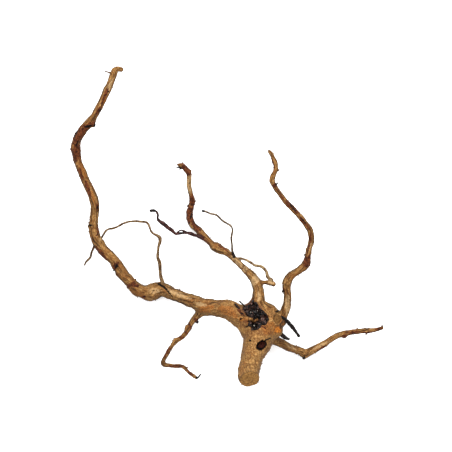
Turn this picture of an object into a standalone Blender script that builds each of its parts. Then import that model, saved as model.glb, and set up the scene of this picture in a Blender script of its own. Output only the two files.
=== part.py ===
"""A spiderwood root: a dry branched root with a sawn trunk stub, lying on its three low points."""
import math

import bmesh
import bpy
import numpy as np
from mathutils import Matrix, Vector

MM = 0.001
# Plan positions below are millimetres at bench level, as they look from straight above the
# middle of the root at this height. A raised point is therefore a little nearer the middle.
EYE_HEIGHT = 2000.0
# Middle of the finished root's plan, taken off so that the frame's origin is under it.
CENTRE_X = 1.8
CENTRE_Y = 0.2
# The feet are cut flat at this height.
BENCH = 0.0
# The seen half widths are rims of many-sided outlines: they grow by a share and by a little.
WIDER = 1.035
WIDER_BY = 0.12
# Depth of the long ridges, as a part of a limb's half width.
RIDGE = 0.055
# Length of one ring of faces along a limb, in half widths and in millimetres at least.
RING_STEP = 1.0
RING_LEAST = 5.2
SMOOTH_ANGLE = math.radians(50)

WOOD = (0.36, 0.20, 0.095, 1.0)
WOOD_ROUGHNESS = 0.62

# Each limb is a list of stations x, y, height, half width, from the hub out to the tip.
TRUNK_STUB = [
    (44, -116, 45, 15), (43, -128, 49, 18), (40.5, -140, 54, 18.2), (37.6, -150, 60, 16),
    (34, -160, 67, 13.9), (31.6, -168, 73, 12.8), (29.4, -176, 80, 12.4), (28.3, -184, 87, 12.3),
    (29.6, -192, 95, 12), (31, -200, 103, 11.6), (32.5, -208, 111, 11.4),
]
MAIN_ARM = [
    (46, -121, 46, 14), (30, -118, 47, 14), (16, -112.5, 47, 13), (8, -107.4, 45.5, 12.4),
    (0, -103.8, 43.5, 11.5), (-10, -102.6, 41, 10), (-20, -102.5, 38, 9.5), (-30, -100, 34.5, 9.5),
    (-40, -95, 30, 8.2), (-50, -91, 26, 7.6), (-60, -87, 22, 7.2), (-70, -83, 17.5, 7.4),
    (-77, -79.8, 14.5, 8.4), (-84, -79.2, 12, 9.2), (-90, -81.5, 9.6, 10.6), (-96, -83, 10, 9.8),
    (-103, -82, 12.3, 8.4), (-112, -78, 15, 8), (-120, -70, 18, 6.8), (-129, -60, 21, 6.8),
    (-135, -50, 24, 6.6), (-142, -41, 27, 6.3), (-148, -35, 29, 6.2), (-154, -29, 31, 6.1),
    (-160, -20, 34.5, 6.1), (-164, -10, 38, 6.1), (-165.7, 0, 41, 5.8), (-165, 10, 44, 5.2),
    (-164, 20, 47, 5.5), (-164.4, 30, 50, 5.6), (-167.7, 40, 53, 5.7), (-172.4, 50, 56, 5.1),
    (-177, 60, 59, 5.1), (-181, 70, 62, 5.3), (-185, 80, 65, 5.1), (-187, 90, 68, 5.1),
    (-188, 100, 71, 6), (-185, 110, 74, 5.1), (-179, 120, 77, 5.1), (-170, 130, 80, 5.5),
    (-163, 140, 83, 4.6), (-158, 150, 85, 4.5), (-153, 160, 87, 4.2), (-148.6, 170, 89, 4.5),
    (-144, 180, 90.5, 4.1), (-140.5, 190, 91.5, 4.2), (-137, 196.3, 92, 3.8), (-131, 195.8, 92, 3.3),
]
CROOK_ARM = [
    (45, -114, 48, 11), (41.5, -103, 50, 9.5), (40.3, -95, 49.5, 8.2), (40.3, -88, 48, 7.3),
    (40.5, -80, 45.5, 6.9), (38, -72, 42.5, 6.6), (35, -66, 40, 5.9), (30, -60.5, 37, 5.1),
    (25, -55, 34, 4.5), (20, -50, 31, 4.1), (15, -45, 28.5, 4.1), (10, -40.5, 26, 4),
    (5, -36.5, 24, 3.9), (0, -32.5, 22, 4.4), (-8, -28.5, 19, 5.3), (-14, -25.5, 17, 5.2),
    (-19, -21, 15, 4.1), (-24, -16, 13, 4.2), (-29, -11, 11, 4.8), (-33, -6, 9, 4.4),
    (-37, -2.5, 7.2, 4.1), (-41, 1, 5.4, 4.1), (-44, 6, 4.0, 4.1), (-45.4, 12, 3.4, 4),
    (-45.4, 18, 4, 3.7), (-43.6, 24, 6, 3), (-42, 30, 8.8, 3.2), (-42.6, 35, 11.5, 3),
    (-44, 40, 14.2, 2.8), (-45, 45, 17, 3), (-46, 50, 19.5, 2.6), (-46, 56, 22.5, 2.7),
    (-46, 62, 25.5, 2.9), (-47.2, 67.5, 28, 3.3), (-51, 72, 30, 3), (-55, 75.6, 31.5, 2.8),
    (-60.5, 76.8, 33, 1.3),
]
RIGHT_UP_ARM = [
    (58, -122, 43, 9), (66, -116, 44, 6.6), (72, -110, 46, 5.2), (75, -103, 48, 5),
    (76.5, -95, 50, 4.8), (77, -88, 52, 4.7), (76, -80, 54, 4.8), (75.5, -73, 56, 5.1),
    (78, -66, 58, 5.2), (84, -60, 60, 4.9), (92, -55, 62, 4.7), (98, -50, 64, 4.7),
    (101.2, -44, 66, 4.4), (102.6, -36, 68, 3.9), (104.5, -28, 70, 3.6), (106.3, -20, 72, 3.6),
    (106.3, -11, 74, 3.9), (104.8, -5, 75.5, 3.8), (101.3, 0, 77, 3.7), (97.8, 5, 78, 3.4),
    (94.3, 10, 79.5, 3.5), (89.5, 15, 81, 3.5), (84.5, 20, 82.5, 3.5), (79.8, 25, 84, 3.5),
    (75, 30, 85.5, 3.4), (71, 35, 87, 3.2), (67.5, 40, 88, 3.1), (63.5, 45, 89, 3.3),
    (60.3, 50, 90, 3.3), (57.6, 56, 91.3, 3.5), (57.7, 60, 92, 3.4), (59.9, 65, 93, 2.9),
    (61.9, 70, 94, 3.2), (62.3, 75, 95, 2.9), (61, 80, 96, 3), (59, 85, 97, 2.9),
    (56.5, 90, 98, 2.7), (54, 93.5, 98.5, 2.5),
]
RIGHT_ARM = [
    (46, -127, 42, 11), (54, -136, 36, 8), (62, -143, 29, 5.3), (70, -147, 23, 4.9),
    (77, -151, 17.5, 4.8), (85, -153.8, 12, 4.4), (92, -156.3, 7.8, 5), (98, -159, 4.5, 5.4),
    (104, -157.5, 5.8, 4.6), (110, -154.5, 8.2, 4.2), (117, -150.5, 11.5, 3.7),
    (125, -146, 15.5, 3.4), (132, -141, 19, 3.3), (140, -136.6, 23, 3.3), (148, -134.5, 27, 3.5),
    (156, -132.8, 30.5, 3), (165, -131.5, 34, 2.9), (173, -131, 37, 2.9), (179, -131, 39.5, 2.9),
    (186, -130, 42, 2.5), (192, -128.3, 44, 2.3), (195, -127.2, 45, 2.3),
]
HOOK_TWIG = [
    (-20, -101, 36.5, 8.6), (-27, -104.5, 34.5, 7.2), (-33, -109, 31.8, 5.2), (-38, -114.5, 29, 3.9),
    (-43, -121, 26, 3.1), (-46, -127, 24, 2.9), (-49, -132, 22, 2.6), (-53, -137, 20, 2.6),
    (-58, -141, 18.5, 2.6), (-62.5, -143.2, 17.5, 3), (-67, -149, 15.5, 2.3), (-71, -155, 13.5, 2.4),
    (-75, -162, 11.5, 2.3), (-78.3, -168, 10, 2.4), (-78.6, -172, 9.5, 2.6), (-75, -173.8, 9.5, 2.5),
    (-70, -174.3, 10, 2.3), (-65, -175, 10.5, 2.3), (-58, -175, 11.5, 2.3), (-54, -175.6, 12.3, 2.2),
    (-50.7, -178.3, 13.2, 2.2), (-47.5, -182, 14.2, 1.9), (-44.5, -184.8, 14.8, 1.7),
    (-41.5, -186.6, 15.2, 1.9), (-38.5, -188.8, 15.5, 2), (-36, -190.3, 15.7, 1.1),
    (-33.5, -187.6, 16, 0.9), (-31.3, -184.8, 16.5, 0.8),
]
LEFT_TWIG = [
    (-78.5, -76, 16, 2.6), (-79.5, -70, 17, 2.1), (-81.7, -62, 18.5, 1.7), (-82.4, -54, 20, 1.8),
    (-83, -46, 21.5, 1.8), (-85.3, -39, 22.6, 1.6), (-84.9, -31, 23.4, 1.4), (-84.2, -25, 24, 1.3),
    (-82.6, -19.5, 24.4, 1.7), (-82.8, -14.8, 24.6, 1.9), (-86, -12, 24.7, 1.4),
    (-90.5, -9.8, 24.8, 1.2), (-93.4, -7, 24.8, 1.2), (-95.3, -2, 24.6, 1.1),
    (-97.3, 2.6, 24.4, 1.3), (-99.8, 4.7, 24.2, 1.2), (-105, 5.2, 24, 1.2), (-112, 6, 23.6, 1.1),
    (-120, 5.5, 23.2, 1.1), (-127, 3.7, 22.8, 1.1), (-132, 1.2, 22.4, 1.1), (-137, -1.5, 22, 1.1),
    (-142, -3.2, 21.6, 1.1), (-146.5, -3.8, 21.2, 1.1), (-150, -6, 20.8, 1.1),
    (-153, -10.5, 20.2, 1.1), (-157, -17, 19, 1.1), (-161.5, -22.5, 17.4, 1.1),
    (-165.3, -27.5, 15.6, 1.1), (-168, -33, 13.6, 1.1), (-169.3, -38.5, 11.8, 1.1),
    (-172, -42, 10.2, 1.1), (-175, -45, 8.6, 1), (-177, -49, 7.4, 0.9),
]
DARK_TWIG = [
    (-25.5, -14.5, 12, 2.6), (-30, -14.2, 13.5, 2.1), (-35, -12.6, 15, 1.9), (-40, -11.3, 16.2, 1.8),
    (-45, -9.2, 17.4, 1.8), (-50, -8, 18.4, 1.7), (-55, -7, 19.2, 2.1), (-60, -9, 19.8, 1.6),
    (-63, -9.8, 20.2, 1.6), (-67, -6, 21, 1.9), (-72, -2.4, 22, 2), (-77, 1.8, 23, 2),
    (-81, 4.5, 23.8, 2), (-84, 6.8, 24.4, 1.9), (-85.6, 10, 25, 1.4), (-85.3, 14, 25.6, 1.3),
    (-87, 17.8, 26, 1.3), (-90.5, 19.3, 26.4, 1.4), (-95, 19, 26.8, 1.4),
]
WHIP_TWIG = [
    (11, -41, 27, 2.4), (9.6, -36.5, 29, 1.8), (7.6, -31, 31, 1.3), (7.5, -25, 32.4, 1),
    (7, -20, 33.4, 1), (6.6, -15, 34.2, 1), (7.4, -10, 35, 1), (8, -6, 35.6, 1),
    (7.4, -2.4, 36.2, 1), (5.6, 0.4, 36.7, 1), (2.4, 2.4, 37.2, 1), (-2, 5, 38, 1), (-6, 8, 38.6, 1),
    (-10, 12, 39.4, 1), (-13, 14, 39.8, 1), (-16.4, 14.7, 40.2, 1), (-20, 15.6, 40.6, 1),
    (-24, 17.4, 41, 1), (-27, 18.4, 41.3, 1.1), (-29.8, 18.8, 41.5, 1.2),
]
ROOTLET = [
    (56.4, -71.5, 44.6, 2.6), (56.6, -67, 44.5, 1.9), (54, -65.6, 44.2, 1.8), (52, -62.6, 43.6, 1.8),
    (51, -58, 42.6, 1.6), (48.4, -54, 41.4, 1.5), (45, -51, 40, 1.4), (41.4, -49.8, 38.6, 1.3),
    (36.4, -49.3, 36.8, 1.3), (33, -47, 35.4, 1.3), (29, -44.4, 33.8, 1.2), (24, -42, 32, 1.2),
    (20, -40.9, 30.6, 1.2), (16.5, -40.5, 29.2, 1.3), (13, -41.5, 27.5, 1.6),
]
FORK_STUB = [
    (38.5, -72.5, 42.5, 5), (43.5, -71, 43.2, 3.3), (48, -70.7, 43.8, 2.3), (52, -70.4, 44.2, 2.4),
    (56, -71.2, 44.6, 3.1), (59.3, -72.8, 45, 2.9),
]
# Dead black rootlets that hang off the right of the hub.
BLACK_STRAPS = [
    [(66, -111, 47, 3), (70, -113.5, 46, 2.1), (75, -117.5, 43.5, 1.6), (80, -123, 40, 1.5),
     (85, -129, 36, 1.5), (89, -134.5, 32, 1.4), (91.5, -138.3, 29.5, 1.3)],
    [(62, -130, 44, 4), (68, -134.5, 40, 2.3), (72, -138, 36.5, 2.1), (76, -140.4, 33, 2),
     (79, -141.4, 31, 1.6)],
    [(16.6, -93.8, 57, 0.8), (20, -97, 56, 0.8), (23, -100.4, 54.5, 1), (26, -104.5, 52, 1.6)],
    [(11, -97, 55.6, 1.1), (14.6, -101.4, 55.6, 1.3), (18, -106, 55, 1.5), (21, -110, 53, 2)],
]
# Short spurs, snags and broken twiglets: base x, y, height, half width, then the tip's.
SPURS = [
    ((-191, 96.5, 70.5, 2.2), (-195.5, 96, 72, 0.6)),
    ((-113.5, -72.5, 16.5, 2.6), (-113, -66, 18.5, 0.7)),
    ((-136, -51.5, 26, 3), (-141, -56.3, 27.5, 0.6)),
    ((-169, 2, 42, 2.4), (-172, 4.5, 43.5, 0.7)),
    ((-142.5, 190.6, 91.5, 1.6), (-150.5, 193.4, 92.5, 0.6)),
    ((-164.5, -25.5, 33.5, 2.2), (-167, -29, 34, 0.7)),
    ((-40, 31, 9.3, 1.8), (-37.6, 31.5, 10, 0.6)),
    ((-46.2, 25, 5.8, 1.7), (-49, 25, 6.2, 0.6)),
    ((-53, 73.5, 30.8, 2.2), (-62, 73.3, 32, 0.8)),
    ((-54, 73.5, 31, 2.2), (-58.4, 70.6, 30.4, 0.8)),
    ((-45.5, 67.5, 28.4, 2.4), (-43.6, 70, 29, 0.8)),
    ((101, -37, 68, 2.4), (97.2, -36, 69, 0.7)),
    ((63.4, 69.5, 94, 2), (67.3, 70.2, 94.6, 0.6)),
    ((60.6, 49.5, 90.6, 2), (64.8, 54.3, 93, 0.7)),
    ((73, -78.5, 54, 2.4), (70, -82.8, 54.6, 0.9)),
    ((164.2, -130, 34.2, 1.9), (163.8, -127.2, 35, 0.6)),
    ((177, -132.4, 38.4, 1.8), (174.6, -136, 37.4, 0.7)),
    ((195.2, -126.5, 45.2, 1.7), (195, -123.4, 46, 0.6)),
    ((-62.6, -142.5, 17.6, 2.1), (-65.6, -140.4, 18, 0.7)),
    ((-50.6, -177.6, 13.4, 1.8), (-47.6, -176.8, 13.8, 0.6)),
    ((-38.5, -118, 28, 2.6), (-35.2, -120.8, 28, 1.4)),
    ((97.2, -162, 6.2, 2.8), (97.6, -166, 6.6, 1.7)),
    ((62.5, -107.5, 49, 2), (64.5, -105.6, 50.5, 0.8)),
]
# Knots and swellings: x, y, height, half width across, along, upright, turn in the plan in degrees.
KNOTS = [
    ((-90.5, -83, 11.6), (9.5, 9, 10), 20),
    ((-166.6, 127, 79.5), (3.2, 4, 4.4), 40),
    ((-137.5, -49.5, 25.5), (5.4, 4.6, 6.4), 30),
    ((-188.2, 101, 71.5), (4.4, 5.6, 5.6), 0),
    ((-48.2, -127, 24), (3.4, 3.6, 3.4), 0),
    ((-82.3, -16, 24.5), (2.4, 2.6, 2.3), 0),
    ((-55, -6.6, 19.4), (2.6, 2.5, 2.6), 0),
    ((148, -136.4, 26.5), (3.4, 3.6, 3.2), 0),
    ((53.5, -71, 44.6), (3.4, 2.9, 3), 20),
    ((76.6, -70.5, 56.4), (5.9, 5, 5.6), 0),
    ((-10.5, -27, 18), (6, 5.3, 5.8), -30),
]
# The hub is where every limb grows together: a few heavy swellings that have run into one another.
HUB = [
    ((43, -121, 43), (22, 22, 18), 0),
    ((51.5, -106, 50), (10.4, 9.8, 12), 20),
    ((59, -117, 50), (12, 12.5, 13), 0),
    ((60, -130, 44), (10.4, 10, 13), 10),
    ((29, -127, 46), (12, 12, 14), 30),
    ((26, -114, 47), (13, 12, 14), -35),
    ((33, -103, 45), (10, 9.5, 11), 40),
    ((70.6, -119, 43), (4.8, 4.6, 5), 0),
]
# Grain of the grown-together hub: how coarsely its swellings run together, and how far it is eased.
HUB_GRAIN = 2.0
HUB_EASE = 8
HUB_KEEP = 0.2
# The dark decayed pocket under the crook arm, and the knot hole in the stub.
POCKETS = [
    ((32, -103, 62), (9.5, 6.6, 9), 50),
    ((44, -114.5, 65), (9, 7.5, 10), -60),
    ((36, -124.5, 65), (6.5, 5.4, 9), -40),
    ((30.5, -121, 62), (4, 4.5, 6), 20),
]
KNOT_HOLE = ((44.6, -149, 76), (7.2, 4.8, 9), 38)
# A long split in the upper side of the main arm, beside the left twig: x, y, height, half width.
SPLIT = [
    (-89, -68, 13, 2), (-83.5, -72.5, 19, 1.7), (-76, -78, 23, 1.4), (-70.5, -83, 24.9, 1.2),
    (-65.5, -87.5, 26.4, 0.9),
]
# Sawn faces: a point on the face, and the way that it faces.
STUB_SAW = ((30.2, -192, 95), (0.17, -0.6, 0.78))
SCAR_SAW = ((63.6, -115.6, 58.3), (0.28, 0.1, 0.95))


def place(x, y, z):
    """The point, in metres, that looks to be at x, y on the bench and is at height z."""
    inward = 1 - z / EYE_HEIGHT
    return Vector(((x * inward - CENTRE_X) * MM, (y * inward - CENTRE_Y) * MM, (z - BENCH) * MM))


def placed(stations):
    """Stations as an array of x, y, z and half width in metres."""
    rows = []
    for x, y, z, r in stations:
        wide = (r * WIDER + WIDER_BY) * (1 - z / EYE_HEIGHT)
        rows.append((*place(x, y, z), wide * MM))
    return np.array(rows)


def smooth_path(points):
    """A fine, rounded path through the stations, by centripetal Catmull-Rom."""
    ends = np.vstack([2 * points[0] - points[1], points, 2 * points[-1] - points[-2]])
    knots = np.zeros(len(ends))
    for i in range(1, len(ends)):
        knots[i] = knots[i - 1] + math.sqrt(np.linalg.norm(ends[i, :3] - ends[i - 1, :3]))
    fine = []
    for i in range(1, len(ends) - 2):
        t0, t1, t2, t3 = knots[i - 1:i + 3]
        p0, p1, p2, p3 = ends[i - 1:i + 3]
        for t in np.linspace(t1, t2, 12, endpoint=False):
            a1 = (t1 - t) / (t1 - t0) * p0 + (t - t0) / (t1 - t0) * p1
            a2 = (t2 - t) / (t2 - t1) * p1 + (t - t1) / (t2 - t1) * p2
            a3 = (t3 - t) / (t3 - t2) * p2 + (t - t2) / (t3 - t2) * p3
            b1 = (t2 - t) / (t2 - t0) * a1 + (t - t0) / (t2 - t0) * a2
            b2 = (t3 - t) / (t3 - t1) * a2 + (t - t1) / (t3 - t1) * a3
            fine.append((t2 - t) / (t2 - t1) * b1 + (t - t1) / (t2 - t1) * b2)
    fine.append(points[-1])
    return np.array(fine)


def rings_along(path):
    """The path's points that carry a ring, spaced by the half width there."""
    lengths = np.linalg.norm(np.diff(path[:, :3], axis=0), axis=1)
    travelled = np.concatenate([[0], np.cumsum(lengths)])
    stops = [0.0]
    while True:
        here = np.interp(stops[-1], travelled, path[:, 3])
        after = stops[-1] + max(RING_STEP * here, RING_LEAST * MM)
        if after > travelled[-1] - 0.5 * RING_LEAST * MM:
            break
        stops.append(after)
    stops.append(travelled[-1])
    stops = np.array(stops)
    return np.column_stack([np.interp(stops, travelled, path[:, k]) for k in range(4)]), stops


def section(angle, along, radius, seed):
    """Half width at an angle round the limb: long ridges that turn slowly as they run along it."""
    turn = along / 0.11
    shape = 0.55 * math.cos(2 * angle + seed + 0.8 * turn)
    shape += 0.6 * math.cos(3 * angle + 2.3 * seed - turn)
    shape += 0.4 * math.cos(5 * angle + 4.1 * seed + 1.7 * turn)
    swell = 0.35 * math.sin(along / 0.009 + seed) + 0.3 * math.sin(along / 0.0053 + 3 * seed)
    return radius * (1 + RIDGE * shape + 0.6 * RIDGE * swell)


def new_object(name, mesh_data, collection):
    made = bpy.data.objects.new(name, mesh_data)
    collection.objects.link(made)
    return made


def limb(name, stations, sides, seed, collection):
    """A closed limb, lofted through rings whose ridged outline changes along it."""
    rings, stops = rings_along(smooth_path(placed(stations)))
    tangents = np.gradient(rings[:, :3], axis=0)
    tangents /= np.linalg.norm(tangents, axis=1)[:, None]
    side = Vector(tangents[0]).orthogonal().normalized()
    bm = bmesh.new()
    loops = []
    for ring, tangent, along in zip(rings.tolist(), tangents.tolist(), stops.tolist()):
        centre = Vector(ring[:3])
        forward = Vector(tangent)
        side = (side - forward * side.dot(forward)).normalized()
        up = forward.cross(side)
        loop = []
        for k in range(sides):
            angle = 2 * math.pi * k / sides
            reach = section(angle, along, ring[3], seed)
            loop.append(bm.verts.new(centre + reach * (math.cos(angle) * side + math.sin(angle) * up)))
        loops.append(loop)
    for here, after in zip(loops, loops[1:]):
        for k in range(sides):
            n = (k + 1) % sides
            bm.faces.new((here[k], here[n], after[n], after[k]))
    root = bm.verts.new(rings[0, :3] - 0.4 * rings[0, 3] * tangents[0])
    tip = bm.verts.new(rings[-1, :3] + 0.6 * rings[-1, 3] * tangents[-1])
    for k in range(sides):
        n = (k + 1) % sides
        bm.faces.new((loops[0][n], loops[0][k], root))
        bm.faces.new((loops[-1][k], loops[-1][n], tip))
    bmesh.ops.recalc_face_normals(bm, faces=bm.faces)
    shape = bpy.data.meshes.new(name)
    bm.to_mesh(shape)
    bm.free()
    return new_object(name, shape, collection)


def lump(name, centre, reach, turn, detail, seed, collection, uneven=0.07):
    """A rounded swelling: a ball, stretched, turned in the plan and made a little uneven."""
    bm = bmesh.new()
    bmesh.ops.create_icosphere(bm, subdivisions=detail, radius=1.0)
    inward = 1 - centre[2] / EYE_HEIGHT
    size = Vector(reach) * inward * MM
    rotation = Matrix.Rotation(math.radians(turn), 3, "Z")
    middle = place(*centre)
    for vert in bm.verts:
        at = vert.co.copy()
        wave = math.sin(3.1 * at.x + seed) + math.sin(3.7 * at.y + 2 * seed)
        wave += math.sin(4.3 * at.z + 3 * seed)
        at *= 1 + uneven * wave / 1.6
        vert.co = rotation @ Vector((at.x * size.x, at.y * size.y, at.z * size.z)) + middle
    shape = bpy.data.meshes.new(name)
    bm.to_mesh(shape)
    bm.free()
    return new_object(name, shape, collection)


def spur(name, base, tip, seed, collection):
    """A short snag: a thin limb that bends a little on its way to its tip."""
    middle = [(a + b) / 2 for a, b in zip(base, tip)]
    middle[2] += 0.3
    middle[3] = 0.4 * base[3] + 0.6 * tip[3]
    return limb(name, [base, tuple(middle), tip], 5, seed, collection)


def slab(name, point, facing, size, depth, collection):
    """A block whose one face lies on a sawn face, with the rest of it on the side sawn away."""
    bm = bmesh.new()
    bmesh.ops.create_cube(bm, size=1.0)
    normal = Vector(facing).normalized()
    turn = normal.to_track_quat("Z", "Y").to_matrix()
    middle = place(*point) + normal * depth * MM / 2
    for vert in bm.verts:
        at = vert.co
        vert.co = turn @ Vector((at.x * size * MM, at.y * size * MM, at.z * depth * MM)) + middle
    shape = bpy.data.meshes.new(name)
    bm.to_mesh(shape)
    bm.free()
    return new_object(name, shape, collection)


def hide_as_cutter(thing):
    thing.hide_render = True
    thing.display_type = "WIRE"


def boolean(target, name, operation, collection):
    cut = target.modifiers.new(name, "BOOLEAN")
    cut.operation = operation
    cut.solver = "EXACT"
    cut.operand_type = "COLLECTION"
    cut.collection = collection
    return cut


def apply_modifiers(target):
    bpy.context.view_layer.update()
    evaluated = target.evaluated_get(bpy.context.evaluated_depsgraph_get())
    shape = bpy.data.meshes.new_from_object(evaluated)
    target.modifiers.clear()
    target.data = shape


def wood_material():
    material = bpy.data.materials.new("spiderwood")
    material.use_nodes = True
    shader = material.node_tree.nodes["Principled BSDF"]
    shader.inputs["Base Color"].default_value = WOOD
    shader.inputs["Roughness"].default_value = WOOD_ROUGHNESS
    shader.inputs["Metallic"].default_value = 0.0
    return material


def new_collection(name):
    made = bpy.data.collections.new(name)
    bpy.context.scene.collection.children.link(made)
    return made


def grow_hub(limbs):
    """The swellings and the trunk stub as one mesh, run together into a single eased form."""
    pieces = [limb("trunk_stub", TRUNK_STUB, 20, 0.4, limbs)]
    for i, (centre, reach, turn) in enumerate(HUB):
        pieces.append(lump(f"hub_{i}", centre, reach, turn, 3, 1.3 * i + 0.6, limbs))
    bm = bmesh.new()
    for piece in pieces:
        bm.from_mesh(piece.data)
        bpy.data.objects.remove(piece, do_unlink=True)
    shape = bpy.data.meshes.new("hub")
    bm.to_mesh(shape)
    bm.free()
    hub = new_object("hub", shape, limbs)
    run_together = hub.modifiers.new("run_together", "REMESH")
    run_together.mode = "VOXEL"
    run_together.voxel_size = HUB_GRAIN * MM
    ease = hub.modifiers.new("ease", "SMOOTH")
    ease.factor = 0.5
    ease.iterations = HUB_EASE
    keep = hub.modifiers.new("keep", "DECIMATE")
    keep.ratio = HUB_KEEP
    apply_modifiers(hub)


def grow_limbs(limbs):
    """Every limb but the main arm, with the hub, knots and spurs, each sunk well into its parent."""
    grow_hub(limbs)
    limb("crook_arm", CROOK_ARM, 10, 1.3, limbs)
    limb("right_up_arm", RIGHT_UP_ARM, 10, 2.2, limbs)
    limb("right_arm", RIGHT_ARM, 10, 3.1, limbs)
    limb("hook_twig", HOOK_TWIG, 8, 4.5, limbs)
    limb("left_twig", LEFT_TWIG, 6, 5.2, limbs)
    limb("dark_twig", DARK_TWIG, 6, 0.9, limbs)
    limb("whip_twig", WHIP_TWIG, 6, 1.7, limbs)
    limb("rootlet", ROOTLET, 6, 2.6, limbs)
    limb("fork_stub", FORK_STUB, 8, 3.6, limbs)
    for i, stations in enumerate(BLACK_STRAPS):
        limb(f"black_strap_{i}", stations, 6, 1.1 + i, limbs)
    for i, (base, tip) in enumerate(SPURS):
        spur(f"spur_{i}", base, tip, 0.7 * i, limbs)
    for i, (centre, reach, turn) in enumerate(KNOTS):
        lump(f"knot_{i}", centre, reach, turn, 2, 1.9 * i + 0.3, limbs)


def make_cutters(cutters):
    """The pocket, knot hole and split, the two sawn faces, and the bench that flattens the feet."""
    for i, (centre, reach, turn) in enumerate(POCKETS):
        lump(f"pocket_{i}", centre, reach, turn, 2, 2.1 * i + 0.8, cutters, 0.1)
    centre, reach, turn = KNOT_HOLE
    lump("knot_hole", centre, reach, turn, 3, 0.5, cutters)
    limb("split", SPLIT, 6, 0.2, cutters)
    slab("stub_saw", *STUB_SAW, 60, 30, cutters)
    slab("scar_saw", *SCAR_SAW, 17, 8, cutters)
    slab("bench_cut", (0, 0, BENCH), (0, 0, -1), 500, 20, cutters)
    for thing in cutters.objects:
        hide_as_cutter(thing)


def main():
    for thing in list(bpy.data.objects):
        bpy.data.objects.remove(thing, do_unlink=True)
    parts = new_collection("spiderwood_root_parts")
    limbs = new_collection("limbs")
    cutters = new_collection("cutters")
    root = limb("spiderwood_root", MAIN_ARM, 12, 0.0, parts)
    grow_limbs(limbs)
    boolean(root, "grown_together", "UNION", limbs)
    apply_modifiers(root)
    for thing in list(limbs.objects):
        bpy.data.objects.remove(thing, do_unlink=True)
    bpy.data.collections.remove(limbs)
    make_cutters(cutters)
    boolean(root, "sawn_and_hollow", "DIFFERENCE", cutters)
    root.data.materials.clear()
    root.data.materials.append(wood_material())
    root.data.shade_smooth()
    root.data.set_sharp_from_angle(angle=SMOOTH_ANGLE)


main()
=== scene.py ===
"""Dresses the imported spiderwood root: its fine surface, twigs, bark, dark pocket and colours."""
import math

import bmesh
import bpy
import numpy as np
from bpy.props import FloatProperty, FloatVectorProperty, IntProperty, PointerProperty
from mathutils import Matrix, Vector
from mathutils.kdtree import KDTree


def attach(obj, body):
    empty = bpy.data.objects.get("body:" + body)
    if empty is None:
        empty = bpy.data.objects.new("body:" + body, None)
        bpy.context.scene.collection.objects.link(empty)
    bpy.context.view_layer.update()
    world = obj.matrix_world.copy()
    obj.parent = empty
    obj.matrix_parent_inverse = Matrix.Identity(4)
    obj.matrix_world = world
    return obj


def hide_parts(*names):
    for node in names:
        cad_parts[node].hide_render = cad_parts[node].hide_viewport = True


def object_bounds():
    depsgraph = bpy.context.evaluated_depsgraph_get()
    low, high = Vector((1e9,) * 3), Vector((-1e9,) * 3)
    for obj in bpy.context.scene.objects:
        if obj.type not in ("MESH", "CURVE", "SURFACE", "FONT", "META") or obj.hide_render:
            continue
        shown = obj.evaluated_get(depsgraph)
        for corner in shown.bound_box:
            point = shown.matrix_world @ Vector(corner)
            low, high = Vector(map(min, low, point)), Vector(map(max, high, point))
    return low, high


bl_info = {
    "name": "Spiderwood Root",
    "version": (1, 0, 0),
    "blender": (4, 5, 0),
    "location": "3D View > Sidebar > Spiderwood",
    "description": "Builds the fine surface, twigs, bark and finish of a dry spiderwood root, with its stage",
    "category": "Object",
}

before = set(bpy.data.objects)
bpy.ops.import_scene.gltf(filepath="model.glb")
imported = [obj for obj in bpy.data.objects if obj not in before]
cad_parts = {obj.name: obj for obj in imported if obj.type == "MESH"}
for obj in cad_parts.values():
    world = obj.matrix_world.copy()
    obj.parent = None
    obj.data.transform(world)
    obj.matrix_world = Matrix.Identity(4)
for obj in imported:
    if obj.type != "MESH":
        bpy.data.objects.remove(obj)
CAD_BOX = [[float(c) for c in corner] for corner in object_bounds()]

MM = 0.001
NODE = "spiderwood_root"
# Plan positions are millimetres at bench level, seen from straight above at this height.
EYE_HEIGHT = 2000.0
# The part's frame has its origin here in the plan.
CENTRE_X = 1.8
CENTRE_Y = 0.2
# Half widths are made wider by this factor and this many millimetres.
WIDER = 1.035
WIDER_BY = 0.12

STEPS_PER_STATION = 12
# A limb's long flutes: height, how many round it, how they shift by limb, how they turn along it.
FLUTES = ((0.55, 2, 1, 0.8), (0.6, 3, 2.3, -1), (0.4, 5, 4.1, 1.7))
# Millimetres along a limb in which its flutes turn by one radian, and the grain's turn in a millimetre.
FLUTE_TURN = 110.0
GRAIN_TWIST = 0.025
# A distance beyond all others, how near a limb is worked out, and how many points at once.
FAR = 1e3
NEARBY = 16
AT_ONCE = 6000
# How far round the pocket its hollows can reach, and the lowest heights of its decay and of its stains.
HOLLOWS_REACH = 40
POCKET_LOWEST = 42
STAIN_LOWEST = 40
# Half widths of the sawn faces, how deep the branch scar is cut, and how near its wood is the scar's.
STUB_REACH = 20
SCAR_REACH = 5.4
SCAR_DEPTH = 8
NEAR_SCAR = 14
# Where the sawn end's pith is, off its middle.
PITH_OFF = np.array([1.5, 1.0, 0])
# The tone that marks a pale speck among the crumbs, a painted glint.
GLINT_TONE = 2.0
FEWEST_FACES = 10000
# The floor lies this far under the root, in metres. The lights point here.
FLOOR_GAP = 0.0004
LIT_POINT = (0, 0, 0.03)
WHITE = (1.0, 1.0, 1.0, 1.0)

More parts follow.
